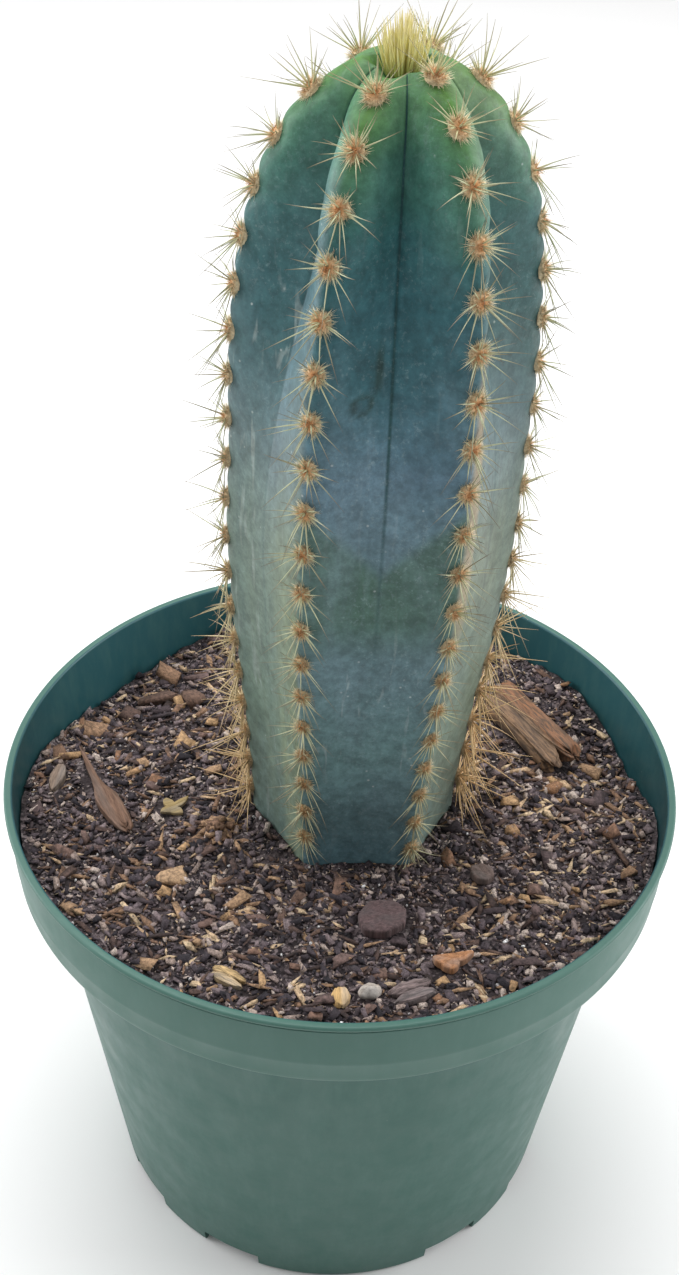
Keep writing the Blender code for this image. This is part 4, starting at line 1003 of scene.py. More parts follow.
def make_rib_spines(rib):
    """One rib's spines: a ring of slender side spines round each areole, longer below than
    above, and a few that stand out of its middle. Near the crown they lean up, low down they
    droop and lie closer to the skin."""
    draws = np.random.default_rng(SPINE_SEED + rib)
    heights, seat, normal, up, side = areole_frames(rib)
    each = SIDE_SPINES + MIDDLE_SPINES + LOW_SPINES
    pick = np.repeat(np.arange(len(heights)), each)
    kind = np.tile(np.arange(each), len(heights))
    aside = smooth(1.1 - heights / (0.5 * STEM_HEIGHT)) * (1.0 - front_share(rib))
    kept = kind < SIDE_SPINES + MIDDLE_SPINES
    kept |= draws.uniform(0.0, 1.0, len(pick)) < aside[pick]
    pick, kind = pick[kept], kind[kept]
    count, aside = len(pick), aside[pick]
    middle = (kind >= SIDE_SPINES) & (kind < SIDE_SPINES + MIDDLE_SPINES)
    young = smooth((heights[pick] / STEM_HEIGHT - 0.88) * 10.0)
    old = smooth(1.1 - heights[pick] / (0.6 * STEM_HEIGHT))
    roll = 2.0 * math.pi * (kind + draws.uniform(-0.45, 0.45, count)) / SIDE_SPINES
    roll = np.where(middle, draws.uniform(0.0, 2.0 * math.pi, count), roll)
    tilt = np.where(middle, draws.uniform(*MIDDLE_TILT, count), draws.uniform(*SIDE_TILT, count))
    tilt = np.radians(tilt * (1.0 - 0.25 * young))
    flat = np.cos(roll)[:, None] * side[pick] + np.sin(roll)[:, None] * up[pick]
    flat = flat + (0.6 * young - 0.4 * old)[:, None] * up[pick]
    ways = unit(np.cos(tilt)[:, None] * normal[pick] + np.sin(tilt)[:, None] * flat)
    length = np.where(middle, draws.uniform(*MIDDLE_LENGTH, count), draws.uniform(*SIDE_LENGTH, count))
    length = length * np.where(middle, 1.0, 1.08 - 0.32 * np.sin(roll))
    length = length * (1.08 - 0.2 * old * front_share(rib)) * (1.0 + 0.75 * aside + 0.08 * young)
    root = draws.uniform(0.1, 0.6, count) * np.where(middle, 0.4, 1.0) * FELT_RADIUS[0]
    starts = seat[pick] + 0.45 * FELT_HEIGHT * normal[pick] + root[:, None] * flat
    drops = draws.normal(0.0, 0.5 * MM, (count, 3)) * (1.0 + old)[:, None]
    drops[:, 2] -= draws.uniform(0.0, 1.2 * MM, count) * (1.0 - young + aside)
    paths = bent_paths(starts, ways, length, drops, SPINE_STEPS)
    ground = soil_height(paths[..., 0], paths[..., 1]) + 0.9 * MM
    paths[..., 2] = np.maximum(paths[..., 2], np.minimum(ground, paths[:, :1, 2] + 0.2 * MM))
    paths[..., 2] = np.minimum(paths[..., 2], TUFT_TOP_Z)
    thick = SPINE_THICKNESS * draws.uniform(0.7, 1.1, count) * np.where(middle, 1.2, 1.0)
    thick = thick * (1.0 - 0.2 * old + 0.35 * aside)
    tone, age = draws.uniform(0.0, 1.0, count), 1.0 - heights[pick] / STEM_HEIGHT
    values = {"tone": tone, "age": age, "dry": aside}
    piece = add_rods(f"areole_spines_{rib + 1}", paths, thick, SPINE_TAPER, SPINE_FINISH, values)
    dress(piece, [f"spines_rib_{rib + 1}"])


def spine_finish():
    """Spines: honey at the root, pale greenish straw along the shaft and brown at the tip."""
    made = Finish("areole_spine", 0.4)
    tone = made.value("tone")
    colour = made.ramp(made.value("along"), [
        (0.0, (0.42, 0.27, 0.1)), (0.12, (0.56, 0.54, 0.32)), (0.5, (0.5, 0.53, 0.34)),
        (0.74, (0.28, 0.24, 0.15)), (1.0, (0.05, 0.035, 0.025)),
    ])
    colour = made.mix(made.ramp(tone, [(0.5, 0.0), (1.0, 0.7)]), colour, (0.16, 0.12, 0.075))
    colour = made.zone(colour, "dry", made.ramp(tone, [(0.0, 1.25), (1.0, 0.95)]), (0.78, 0.53, 0.27))
    new = made.ramp(made.value("age"), [(0.0, 0.4), (0.1, 0.0)])
    return made.finish(made.mix(new, colour, (0.6, 0.54, 0.24)))


def needle_mesh(bases, tips, widths):
    """Three-sided needles, all at once: a small triangle at each base, drawn to a tip."""
    corners = bases[:, None] + 0.5 * widths[:, None, None] * rings_round(unit(tips - bases), 3)
    points = np.concatenate([corners, tips[:, None]], axis=1)
    needle = np.array([(0, 2, 1), (0, 1, 3), (1, 2, 3), (2, 0, 3)])
    return points.reshape(-1, 3), copies_of(needle, 4, len(bases))


def felt_domes(seat, normal, up, side, radius, draws):
    """Domes of felt: rings of a lumpy half ball, flattened onto the crest. The last result is
    how near the edge each point lies."""
    count, (rows, columns) = len(seat), FELT_GRID
    lift = np.linspace(-0.45, 0.46 * math.pi, rows)[None, :, None]
    turn = (2.0 * math.pi * np.arange(columns) / columns)[None, None, :]
    lumps = 1.0 + 0.05 * draws.normal(0.0, 1.0, (count, rows, columns))
    reach = radius[:, None, None] * np.cos(lift) * lumps
    rising = FELT_HEIGHT * np.sin(lift) * lumps * (radius / FELT_RADIUS[1])[:, None, None]
    normals, ups, sides = (v[:, None, None] for v in (normal, up, side))
    domes = seat[:, None, None] + rising[..., None] * normals
    domes = domes + (reach * np.sin(turn))[..., None] * ups * 1.1 + (reach * np.cos(turn))[..., None] * sides
    low = seat - 0.55 * MM * normal
    high = seat + (FELT_HEIGHT * radius / FELT_RADIUS[1])[:, None] * normal
    points = np.concatenate([domes.reshape(count, -1, 3), low[:, None], high[:, None]], axis=1)
    faces = [copies_of(part, rows * columns + 2, count) for part in closed_faces(rows, columns)]
    edge = np.broadcast_to(0.8 * np.cos(lift), (count, rows, columns)).reshape(count, -1)
    return points, faces, np.concatenate([edge, np.ones((count, 1)), np.zeros((count, 1))], axis=1)


def make_rib_felt(rib):
    """One rib's areole cushions: domes with a fuzz of short straight hairs standing all over."""
    draws = np.random.default_rng(FELT_SEED + rib)
    heights, seat, normal, up, side = areole_frames(rib)
    share = smooth(1.4 * heights / STEM_HEIGHT - 0.2)
    radius = FELT_RADIUS[0] + (FELT_RADIUS[1] - FELT_RADIUS[0]) * share
    domes, faces, edge = felt_domes(seat, normal, up, side, radius, draws)
    pick = np.repeat(np.arange(len(heights)), FELT_HAIRS)
    roll = draws.uniform(0.0, 2.0 * math.pi, len(pick))
    lean = np.sqrt(draws.uniform(0.0, 1.0, len(pick)))
    tilt = 0.5 * math.pi * lean
    flat = np.cos(roll)[:, None] * side[pick] + np.sin(roll)[:, None] * up[pick] * 1.1
    lifted = (FELT_HEIGHT * np.cos(tilt) * radius[pick] / FELT_RADIUS[1])[:, None] * normal[pick]
    base = seat[pick] + (0.95 * radius[pick] * np.sin(tilt))[:, None] * flat + 0.9 * lifted
    ways = unit(np.cos(tilt)[:, None] * normal[pick] + np.sin(tilt)[:, None] * flat
                + draws.normal(0.0, 0.4, (len(pick), 3)))
    length = sizes_between(draws, len(pick), *HAIR_LENGTH, 1.8) * (0.8 + 0.2 * share[pick])
    widths = HAIR_THICKNESS * draws.uniform(0.7, 1.3, len(pick))
    hair_points, hair_faces = needle_mesh(base, base + length[:, None] * ways, widths)
    points = np.concatenate([domes.reshape(-1, 3), hair_points])
    faces.append(hair_faces + domes.shape[0] * domes.shape[1])
    tips = np.array([0.05, 0.05, 0.05, 0.45])
    hair_edge = np.clip(lean[:, None] * 0.85 + tips, 0.0, 1.0)
    ages = np.concatenate([np.repeat(heights, domes.shape[1]), np.repeat(heights[pick], 4)])
    values = {"edge": np.concatenate([edge.ravel(), hair_edge.ravel()]), "age": 1.0 - ages / STEM_HEIGHT}
    piece = add_piece(f"areole_felt_{rib + 1}", points, faces, FELT_FINISH, values)
    dress(piece, [])


def felt_finish():
    """Areole felt: orange-brown in the middle, peach then cream at the edge, duller with age."""
    made = Finish("areole_felt", 0.9)
    colour = made.ramp(made.value("edge"), [
        (0.0, (0.42, 0.165, 0.055)), (0.3, (0.64, 0.34, 0.15)), (0.62, (0.8, 0.58, 0.35)),
        (1.0, (0.86, 0.79, 0.56)),
    ])
    dark = made.ramp(made.noise(1600.0, 3.0, 0.7), [(0.35, 0.8), (0.65, 1.15)])
    colour = made.dim(colour, dark)
    old = made.ramp(made.value("age"), [(0.35, 0.0), (0.75, 0.4), (1.0, 0.65)])
    return made.finish(made.mix(old, colour, (0.5, 0.34, 0.17)))


def make_crown_tuft():
    """The crown's brush: near-parallel straw-yellow spines that rise from the dimple."""
    draws = np.random.default_rng(TUFT_SEED)
    count = TUFT_SPINES
    roll = draws.uniform(0.0, 360.0, count)
    out = np.sqrt(draws.uniform(0.0, 1.0, count))
    apex = stem_centre(DIMPLE_FLOOR)
    starts = apex + (TUFT_RADIUS * out)[:, None] * heading(roll)
    lean = np.radians(1.0 + 17.0 * out**2 + draws.normal(0.0, 3.0, count))
    ways = np.sin(lean)[:, None] * heading(roll + draws.normal(0.0, 14.0, count))
    ways = ways + np.cos(lean)[:, None] * UP
    reach = TUFT_TOP_Z - apex[2]
    length = reach * (1.0 - 0.3 * out**2) * (1.0 - 0.3 * draws.uniform(0.0, 1.0, count) ** 2)
    paths = bent_paths(starts, ways, length, draws.normal(0.0, 0.35 * MM, (count, 3)), TUFT_STEPS)
    paths[..., 2] = np.minimum(paths[..., 2], TUFT_TOP_Z)
    thick = TUFT_THICKNESS * draws.uniform(0.7, 1.15, count)
    values = {"tone": draws.uniform(0.0, 1.0, count)}
    piece = add_rods("crown_brush", paths, thick, TUFT_TAPER, brush_finish(), values)
    dress(piece, ["crown_spines"])


def brush_finish():
    """Young crown spines: greenish at the root, straw yellow, paler to the tip."""
    made = Finish("crown_spine", 0.45)
    shaft = made.ramp(made.value("along"), [
        (0.0, (0.5, 0.52, 0.14)), (0.3, (0.72, 0.66, 0.2)), (0.75, (0.8, 0.74, 0.32)),
        (1.0, (0.6, 0.48, 0.22)),
    ])
    pale = made.ramp(made.value("tone"), [(0.0, 0.0), (1.0, 0.65)])
    return made.finish(made.mix(pale, shaft, (0.88, 0.83, 0.48)))


def make_mix():
    """The mix as one body: up the pocket round the root, out over its rough top by straight
    lines from the stem's foot to the wall, down inside the pot and in to the pot's axis."""
    out = heading(360.0 / MIX_COLUMNS * np.arange(MIX_COLUMNS))
    rings = [mix_pocket(height, SEAT_GAP) for height in (-STEM_BURIED, -0.5 * STEM_BURIED, -2.0 * MM)]
    edge = soil_height(*((pot_outside(SOIL_LEVEL) - WALL) * out[:, :2]).T)
    rim = (pot_outside(edge) - WALL - SOIL_WALL_GAP)[:, None] * out
    share = np.linspace(0.0, 1.0, MIX_RINGS)[:, None, None]
    top = mix_pocket(0.0, 0.1 * MM) * (1.0 - share) + rim * share
    top[..., 2] = soil_height(top[..., 0], top[..., 1]) + mix_relief(top[..., 0], top[..., 1])
    rings += list(top)
    shoulder = np.linspace(COLLAR_FOOT_Z, BODY_TOP_Z, 7)
    for rank, z in enumerate([*shoulder, FLOOR_TOP_Z + SEAT_GAP], 2):
        levels = np.minimum(z, edge - rank * WALL_RING_STEP)
        ring = (pot_outside(levels) - WALL - SOIL_WALL_GAP)[:, None] * out
        ring[:, 2] = levels
        rings.append(ring)
    poles = [stem_centre(-STEM_BURIED - SEAT_GAP), (FLOOR_TOP_Z + SEAT_GAP) * UP]
    points = np.concatenate([np.concatenate(rings), poles])
    faces = closed_faces(len(rings), MIX_COLUMNS, inside_out=True)
    dress(add_piece("potting_mix", points, faces, mix_finish()), ["soil"])


def mix_pocket(height, gap):
    """A ring round the stem at this height, this far off its skin."""
    angles = 360.0 / MIX_COLUMNS * np.arange(MIX_COLUMNS)
    return stem_centre(height) + (section_radius(angles, height) + gap)[:, None] * heading(angles)


def mix_finish():
    """Fine peat between the crumbs: nearly black where damp, elsewhere grains of many tones."""
    made = Finish("peat", 0.95)
    fine = made.noise(1500.0, 4.0, 0.7)
    broad = made.noise(70.0, 3.0, 0.6)
    colour = made.mix(broad, (0.016, 0.012, 0.014), (0.05, 0.036, 0.036))
    grains = made.ramp(made.cells(1300.0, "Color"), [
        (0.2, (0.02, 0.015, 0.018)), (0.45, (0.06, 0.044, 0.048)), (0.6, (0.13, 0.1, 0.105)),
        (0.75, (0.24, 0.19, 0.195)), (0.9, (0.42, 0.36, 0.35)),
    ])
    dry = made.ramp(made.noise(110.0, 4.0, 0.6), [(0.4, 0.1), (0.56, 0.9)])
    colour = made.mix(dry, colour, grains)
    stones = made.bump(made.cells(1300.0), 1.0, 0.4 * MM)
    return made.finish(colour, None, made.bump(fine, 0.8, 0.3 * MM, stones))


def off_stem(x, y, gap):
    """Whether places lie outside the stem's foot by this gap."""
    x, y = x - STEM_FOOT[0], y - STEM_FOOT[1]
    return np.hypot(x, y) > section_radius(bearing_of(x, y), 0.0) + gap


def mix_places(draws, count, margin):
    """Places spread evenly over the mix: over the pot's disc, less those on the stem."""
    wall = pot_outside(SOIL_LEVEL) - WALL - SOIL_WALL_GAP - margin
    radius = wall * np.sqrt(draws.uniform(0.0, 1.0, 2 * count))
    place = radius[:, None] * heading(draws.uniform(0.0, 360.0, 2 * count))
    x, y = place[:, 0], place[:, 1]
    kept = off_stem(x, y, 0.5 * margin)
    return x[kept][:count], y[kept][:count]


def own_axes(name, turn, x, y):
    """Distances of places from a loose node's middle, along the piece and across it."""
    middle = piece_middle(name)
    c, s = cos_sin(turn)
    x, y = x - middle[0], y - middle[1]
    return x * c + y * s, y * c - x * s


def on_piece(x, y, grow):
    """Whether places lie under a loose piece's outline, grown by this length."""
    under = np.zeros(x.shape, bool)
    for name, _, length, width, _, turn, *_ in LOOSE_PIECES:
        along, across = own_axes(name, turn, x, y)
        under |= (along / (0.5 * length * MM + grow)) ** 2 + (across / (0.5 * width * MM + grow)) ** 2 < 1.0
    return under


def facets(corners, edge):
    """Outward triangles of a regular solid: every three corners that lie an edge apart."""
    triples = np.array(list(itertools.combinations(range(len(corners)), 3)))
    points = corners[triples]
    apart = np.linalg.norm(points - np.roll(points, 1, axis=1), axis=-1)
    faces = triples[np.isclose(apart, edge).all(axis=1)]
    points = corners[faces]
    way = np.cross(points[:, 1] - points[:, 0], points[:, 2] - points[:, 0])
    inward = (way * points.mean(axis=1)).sum(axis=1) < 0.0
    faces[inward] = faces[inward][:, ::-1]
    return faces


def eight_sided():
    """A solid of eight triangles: a point out along each axis, both ways."""
    corners = np.concatenate([np.eye(3), -np.eye(3)])
    return corners, facets(corners, math.sqrt(2.0))


def splintered():
    """A flat four-sided bit, narrower and skewed at one end, as outward triangles."""
    corners = np.array([
        (-1.0, -0.6, -0.5), (1.0, -0.95, -0.5), (0.8, 0.9, -0.5), (-0.85, 0.75, -0.5),
        (-0.9, -0.5, 0.5), (0.92, -0.8, 0.5), (0.7, 0.8, 0.5), (-0.8, 0.6, 0.5),
    ])
    sides = np.array([(3, 2, 1, 0), (4, 5, 6, 7), (0, 1, 5, 4), (1, 2, 6, 5), (2, 3, 7, 6), (3, 0, 4, 7)])
    return corners, np.concatenate([sides[:, [0, 1, 2]], sides[:, [0, 2, 3]]])


def twenty_sided():
    """A near-round solid of twenty triangles."""
    golden = 0.5 * (1.0 + math.sqrt(5.0))
    flat = np.array([[0.0, a, b * golden] for a in (-1.0, 1.0) for b in (-1.0, 1.0)])
    corners = np.concatenate([flat, np.roll(flat, 1, axis=1), np.roll(flat, 2, axis=1)])
    return corners / math.hypot(1.0, golden), facets(corners, 2.0)


def scatter(shape, places, sizes, bearings, tilt, ragged, draws):
    """Copies of a small solid: each corner moved in or out on each axis, each copy sized, laid
    along its bearing and tilted."""
    corners, faces = shape
    count = len(places)
    copies = corners[None] * draws.uniform(1.0 - ragged, 1.0 + ragged, (count, len(corners), 3))
    copies = copies * sizes[:, None, :]
    normal = unit(np.column_stack([draws.normal(0.0, tilt, (count, 2)), np.ones(count)]))
    along = heading(bearings)
    along = unit(along - (along * normal).sum(axis=1)[:, None] * normal)
    axes = np.stack([along, np.cross(normal, along), normal], axis=1)
    points = places[:, None] + copies @ axes
    return points.reshape(-1, 3), [copies_of(faces, len(corners), count)]


def sizes_between(draws, count, least, most, power):
    """Sizes from least to most, with more small ones the higher the power."""
    return least + (most - least) * draws.uniform(0.0, 1.0, count) ** power


def make_crumbs(name, shape, finish, slot, seed, amounts, form):
    """A scatter of bits sunk partly into the mix, clear of the stem, the wall and the loose
    pieces. Amounts and form are as in the table of litter."""
    draws = np.random.default_rng(MIX_SEED + seed)
    wide, thick, spread, tilt, ragged, power = form
    count, least, most = amounts[0], amounts[1] * MM, amounts[2] * MM
    x, y = mix_places(draws, count, 0.5 * least)
    size = sizes_between(draws, len(x), least, most, power)
    bearings = 90.0 + draws.normal(0.0, spread, len(x))
    reach = 0.5 * size[:, None] * heading(bearings)[:, :2]
    ends = np.stack([x, y], axis=-1)[:, None] + reach[:, None] * np.array([-1.0, 0.0, 1.0])[:, None]
    clear = off_stem(ends[..., 0], ends[..., 1], 0.2 * MM)
    wall = pot_outside(COLLAR_FOOT_Z) - WALL - SOIL_WALL_GAP - 0.2 * MM
    kept = (clear & (np.linalg.norm(ends, axis=-1) < wall)).all(axis=1) & ~on_piece(x, y, 0.25 * size)
    x, y, size, bearings = x[kept], y[kept], size[kept], bearings[kept]
    lift = draws.uniform(0.0, 0.5, len(x)) * size * thick + 0.12 * MM
    places = np.column_stack([x, y, soil_height(x, y) + mix_relief(x, y) + lift])
    shares = np.array([1.0, wide, thick]) * draws.uniform(0.65, 1.3, (len(x), 3))
    points, faces = scatter(shape, places, 0.5 * size[:, None] * shares, bearings, tilt, ragged, draws)
    lighter = 0.05 + 0.09 * smooth((x - 5.0 * MM) / (40.0 * MM))
    tone = np.repeat(draws.uniform(0.0, 1.0, len(x)) + lighter, len(shape[0]))
    piece = add_piece(name, points, faces, finish, {"tone": tone}, smooth_shading=False)
    dress(piece, [])


def crumb_finish(name):
    """Crumbs in a spread of tones, each with its own fine grain."""
    fine, stops = LITTER_TONES[name]
    made = Finish(name, 0.9)
    grain = made.noise(fine, 4.0, 0.8)
    colour = made.dim(made.ramp(made.value("tone"), stops), made.ramp(grain, [(0.38, 0.5), (0.62, 1.5)]))
    return made.finish(colour, None, made.bump(grain, 0.8, 0.3 * MM))


def make_placed_bits(shape, finish):
    """The bits that stand out of the litter, and the heap of crumbs, higher in its middle."""
    draws = np.random.default_rng(PLACED_SEED)
    placed = np.array(PLACED_BITS)
    heap = draws.normal(0.0, HEAP_SPREAD, (HEAP_BITS, 2))
    crest = np.maximum(0.0, HEAP_HEIGHT - 0.6 * np.linalg.norm(heap, axis=1))
    x, y = np.concatenate([placed[:, :2] * MM, heap + HEAP_PLACE]).T
    small = sizes_between(draws, HEAP_BITS, 1.2, 4.0, 1.5)[:, None] * np.array([1.0, 0.55, 0.4])
    sizes = 0.5 * MM * np.concatenate([placed[:, 2:5], small])
    lift = np.concatenate([0.3 * placed[:, 4] * MM, crest])
    places = np.column_stack([x, y, soil_height(x, y) + lift + 0.2 * MM])
    bearings = np.concatenate([placed[:, 5], draws.uniform(0.0, 360.0, HEAP_BITS)])
    points, faces = scatter(shape, places, sizes, bearings, 0.2, 0.35, draws)
    tone = np.concatenate([placed[:, 6], draws.uniform(0.55, 0.82, HEAP_BITS)])
    values = {"tone": np.repeat(tone, len(shape[0]))}
    dress(add_piece("standing_bits", points, faces, finish, values, smooth_shading=False), [])


def make_litter():
    """Everything loose and small on the mix: grit, crumbs, bark bits, wood fibres, perlite."""
    finishes = {name: crumb_finish(name) for name in LITTER_TONES}
    shapes = {"lump": eight_sided(), "flat": splintered(), "round": twenty_sided()}
    make_placed_bits(shapes["flat"], finishes["fibre"])
    for name, shape, finish, *rest in LITTER:
        make_crumbs(name, shapes[shape], finishes[finish], *rest)


def stick_form(length, width, thick, widths, stations, around, crack, draws):
    """A split piece of wood: flat-sided rings along its length, ridged by fibres that run and
    drift along it, with ragged ends. Ring sides follow a power of the cosine and sine."""
    s = np.linspace(-1.0, 1.0, stations)[:, None]
    turn = (2.0 * math.pi * np.arange(around) / around)[None, :]
    wide = np.interp(s, np.linspace(-1.0, 1.0, len(widths)), widths) * 0.5 * width
    tall = 0.5 * thick * (0.55 + 0.45 * np.interp(s, np.linspace(-1.0, 1.0, len(widths)), widths))
    close = np.sqrt(np.clip(1.0 - np.abs(s) ** 40, 0.12, 1.0))
    across = wide * powered(np.cos(turn), 0.4) * close
    lift = tall * powered(np.sin(turn), 0.45) * close
    phases = draws.uniform(0.0, 2.0 * math.pi, (5, 2))
    ridges = 0.0
    for i, waves in enumerate((5, 8, 13, 19, 29)):
        bend = 1.1 * np.sin(2.2 * s + phases[i, 0])
        ridges = ridges + np.sin(waves * turn + bend + phases[i, 1]) / (1.0 + 0.5 * i)
    ridges = 0.05 * ridges
    rag = 0.07 * np.sin(3 * turn + phases[0, 0]) + 0.045 * np.sin(11 * turn + phases[1, 0])
    along = 0.5 * length * s * (1.0 + rag * np.abs(s) ** 3 - 0.04)
    bow = 0.05 * length * (s**2 - 0.4) * draws.uniform(-1.0, 1.0)
    y = across * (1.0 + ridges) + bow
    z = lift * (1.0 + 1.6 * ridges) + tall
    drawn = 0.12 * np.sin(2.6 * s + phases[2, 0]) + 0.1
    z = z - crack * thick * np.exp(-(((across / wide - drawn) / 0.09) ** 2)) * (np.sin(turn) > 0.0)
    rings = np.stack([along, y, z], axis=-1)
    poles = rings[[0, -1]].mean(axis=1)
    return np.concatenate([rings.reshape(-1, 3), poles]), stations, around


def plate_form(length, width, thick, corners, ragged, lobed, curl, roundness, rings, around, draws):
    """A flat bit: a many-cornered outline drawn in to a middle above and below, its edge rounded
    by a power of the cosine and sine, curled up with the square of the length, and rumpled."""
    turn = 2.0 * math.pi * np.arange(around) / around
    places = np.sort(draws.uniform(0.0, 1.0, corners) * 0.5 + np.arange(corners)) / corners
    reach = 1.0 + draws.uniform(-ragged, 0.1, corners) - lobed * (np.arange(corners) % 2)
    outline = np.interp(turn / (2.0 * math.pi), places, reach, period=1.0)
    half = math.pi / corners
    off = (turn / (2.0 * math.pi) * corners - 0.25) % 1.0 - 0.5
    outline = outline * math.cos(half * 0.8) / np.cos(2.0 * half * off * 0.8)
    tilt = np.linspace(-0.5 * math.pi, 0.5 * math.pi, rings + 2)[1:-1, None]
    draw = powered(np.cos(tilt), roundness)
    lift = powered(np.sin(tilt), max(0.35, roundness))
    x = 0.5 * length * draw * (outline * np.cos(turn))[None]
    y = 0.5 * width * draw * (outline * np.sin(turn))[None]
    z = 0.5 * thick * (1.0 + lift) + np.zeros_like(x)
    z = z + curl * (x / (0.5 * length)) ** 2
    points = np.stack([x, y, z], axis=-1)
    rumple = wobble(points, 0.16 * length, int(draws.integers(1000)))
    rumple = rumple + 0.5 * wobble(points, 0.06 * length, int(draws.integers(1000)))
    points[..., 2] += 0.07 * thick * rumple
    points[..., :2] *= (1.0 + 0.02 * rumple)[..., None]
    poles = np.array([points[0].mean(axis=0), points[-1].mean(axis=0)])
    return np.concatenate([points.reshape(-1, 3), poles]), rings, around


def piece_forms(form, length, width, thick, draws):
    """Points, rows and columns of each part of a loose piece, lying along X over the origin. A
    slab and a split chip are two strips with a crack between, one shorter and lower."""
    if form in PLATES:
        return [plate_form(length, width, thick, *PLATES[form], draws)]
    if form not in SPLIT_FORMS:
        return [stick_form(length, width, thick, *STICKS[form], draws)]
    strips = []
    for side, long, wide, tall, shift in STRIPS:
        strip = stick_form(long * length, wide * width, tall * thick, *STICKS[form], draws)
        strips.append((strip[0] + np.array([shift * length, side * 0.215 * width, 0.0]), *strip[1:]))
    return strips


def make_loose_pieces():
    """Bark, chips, leaf scrap and pebble, each where its node lies, sunk a little in the grit."""
    draws = np.random.default_rng(PIECES_SEED)
    for name, form, length, width, thick, turn, slot, tone in LOOSE_PIECES:
        points, faces, first = [], [], 0
        for shape, rows, columns in piece_forms(form, length * MM, width * MM, thick * MM, draws):
            faces += [part + first for part in closed_faces(rows, columns)]
            points.append(shape)
            first += len(shape)
        c, s = cos_sin(turn)
        turned = np.concatenate(points) @ np.array([[c, s, 0.0], [-s, c, 0.0], [0.0, 0.0, 1.0]])
        placed = turned + piece_middle(name) - 0.4 * MM * UP
        run, side = own_axes(name, turn, placed[:, 0], placed[:, 1])
        values = {"run": run / MM, "side": side / MM}
        piece = add_piece(f"{name}_fine", placed, faces, loose_finish(name, tone, form), values)
        dress(piece, [name])


def loose_finish(name, tone, form):
    """Wood, bark, leaf or stone in its own tone: fibres drawn out along the piece's length, their
    hollows painted darker as shade, greyed in patches. Run and side are its own coordinates in mm."""
    made = Finish(name, 0.85)
    mapped = made.node("ShaderNodeCombineXYZ")
    fibrous = form in STICKS or form == "leaf"
    made.feed(mapped.inputs["X"], made.times(made.value("run"), 0.12 if fibrous else 0.6))
    made.feed(mapped.inputs["Y"], made.value("side"))
    fibres = made.noise(1.6, 5.0, 0.7, mapped.outputs["Vector"], 0.4)
    patches = made.noise(0.35, 3.0, 0.6, mapped.outputs["Vector"])
    dark, light = tuple(0.35 * v for v in tone), tuple(min(1.35 * v + 0.02, 1.0) for v in tone)
    if form == "slab":
        light = made.mix(made.ramp(made.value("side"), [(0.0, 0.0), (0.5, 1.0)]), *SLAB_LIGHT)
    sharp = 0.08 if form in SPLIT_FORMS else 0.2
    # Fibre grain, with the low places of the same bump painted dark as shade
    colour = made.mix(made.ramp(fibres, [(0.5 - sharp, 0.0), (0.5 + sharp, 1.0)]), dark, light)
    grey = tuple(0.8 * sum(tone) / 3.0 + 0.2 * v for v in tone)
    greyed = 0.2 if form == "slab" else 0.6
    colour = made.mix(made.ramp(patches, [(0.45, 0.0), (0.7, greyed)]), colour, grey)
    return made.finish(colour, None, made.bump(fibres, 0.6, 0.4 * MM))


def make_camera():
    """The viewer's camera: it looks down on the pot, with a slight roll."""
    (flat, down), (north, east), (c, s) = map(cos_sin, (CAMERA_DOWN, CAMERA_TURN, CAMERA_ROLL))
    ahead = np.array([east * flat, north * flat, -down])
    level = np.array([north, -east, 0.0])
    below = np.cross(ahead, level)
    right, under = c * level + s * below, c * below - s * level
    data = bpy.data.cameras.new("camera")
    data.sensor_fit = "AUTO"
    data.sensor_width = SENSOR_WIDTH
    data.lens = LENS
    camera = bpy.data.objects.new("camera", data)
    turned = np.eye(4)
    turned[:3, 0], turned[:3, 1], turned[:3, 2], turned[:3, 3] = right, -under, -ahead, CAMERA_PLACE
    camera.matrix_world = Matrix(turned.tolist())
    bpy.context.scene.collection.objects.link(camera)
    bpy.context.scene.camera = camera


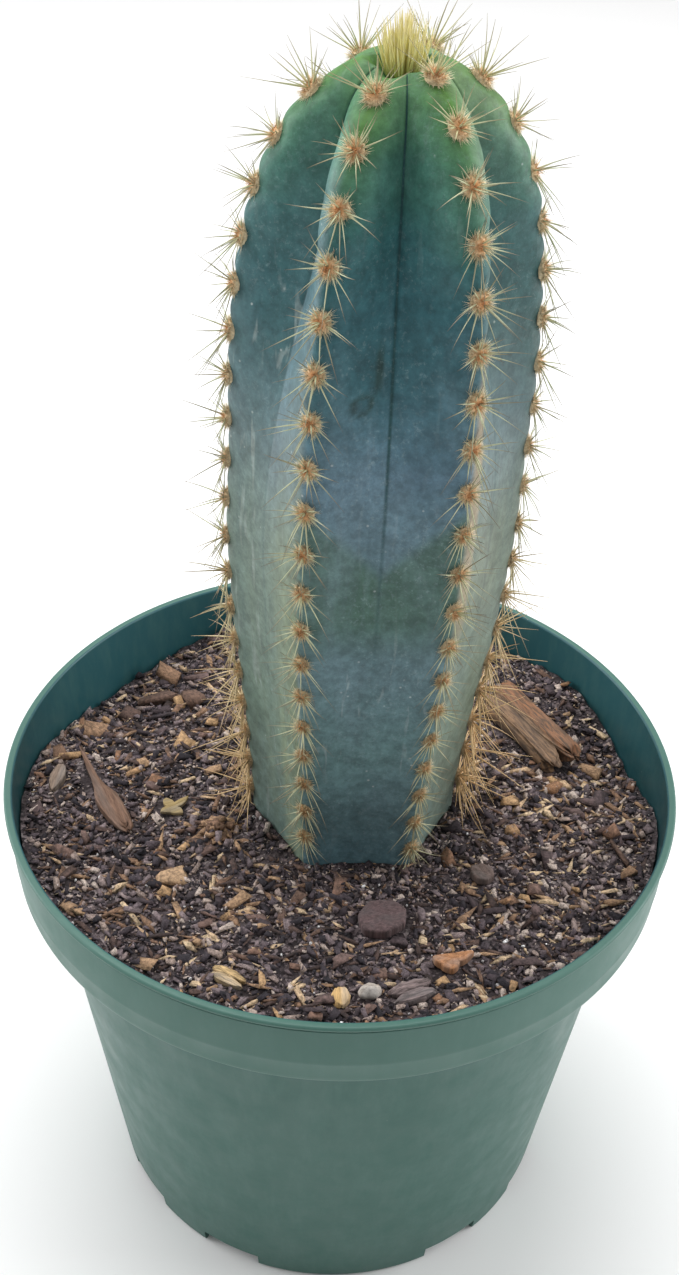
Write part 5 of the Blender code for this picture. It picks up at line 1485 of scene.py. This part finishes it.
def light_surrounding(tree):
    """White all round: bright overhead, at the sides and behind, dim low on the viewer's side."""
    made = Nodes(tree)
    parts = made.node("ShaderNodeSeparateXYZ")
    made.feed(parts.inputs["Vector"], made.node("ShaderNodeTexCoord").outputs["Generated"])
    glow = made.node("ShaderNodeMapRange", interpolation_type="SMOOTHSTEP")
    climb = made.math("ADD", parts.outputs["Y"], parts.outputs["Z"])
    numbers = (climb, *GLOW_CHANGE, FRONT_GLOW, SIDE_GLOW)
    for key, number in zip(("Value", "From Min", "From Max", "To Min", "To Max"), numbers):
        made.feed(glow.inputs[key], number)
    made.feed(tree.nodes["Background"].inputs["Strength"], glow.outputs["Result"])
    made.feed(tree.nodes["Background"].inputs["Color"], (1.0, 1.0, 1.0, 1.0))


def add_softbox(name, place, size, watts):
    """A round soft light, aimed at the middle of the plant."""
    lamp = bpy.data.lights.new(name, "AREA")
    lamp.shape = "DISK"
    lamp.size = size
    lamp.energy = watts
    light = bpy.data.objects.new(name, lamp)
    light.location = place
    aim = Vector(LIGHT_AIM) - Vector(place)
    light.rotation_euler = aim.to_track_quat("-Z", "Y").to_euler()
    bpy.context.scene.collection.objects.link(light)


def make_studio():
    """A pale floor, a bright surrounding, and broad soft lights overhead and at both sides."""
    made = Finish("studio_floor", 0.9)
    grain = made.ramp(made.noise(3.0), [(0.0, FLOOR_TONES[0]), (1.0, FLOOR_TONES[1])])
    corners = FLOOR_HALF * np.array([[-1.0, -1.0, 0.0], [1.0, -1.0, 0.0], [1.0, 1.0, 0.0], [-1.0, 1.0, 0.0]])
    floor = add_piece("floor", corners, [np.array([[0, 1, 2, 3]])], made.finish(grain), smooth_shading=False)
    world = bpy.data.worlds.new("surrounding")
    world.use_nodes = True
    light_surrounding(world.node_tree)
    bpy.context.scene.world = world
    for softbox in SOFTBOXES:
        add_softbox(*softbox)
    bpy.context.scene.view_settings.view_transform = "Standard"


make_camera()
make_studio()
make_pot()
make_stem()
SPINE_FINISH = spine_finish()
FELT_FINISH = felt_finish()
for rib in range(RIBS):
    make_rib_spines(rib)
    make_rib_felt(rib)
make_crown_tuft()
make_mix()
make_litter()
make_loose_pieces()
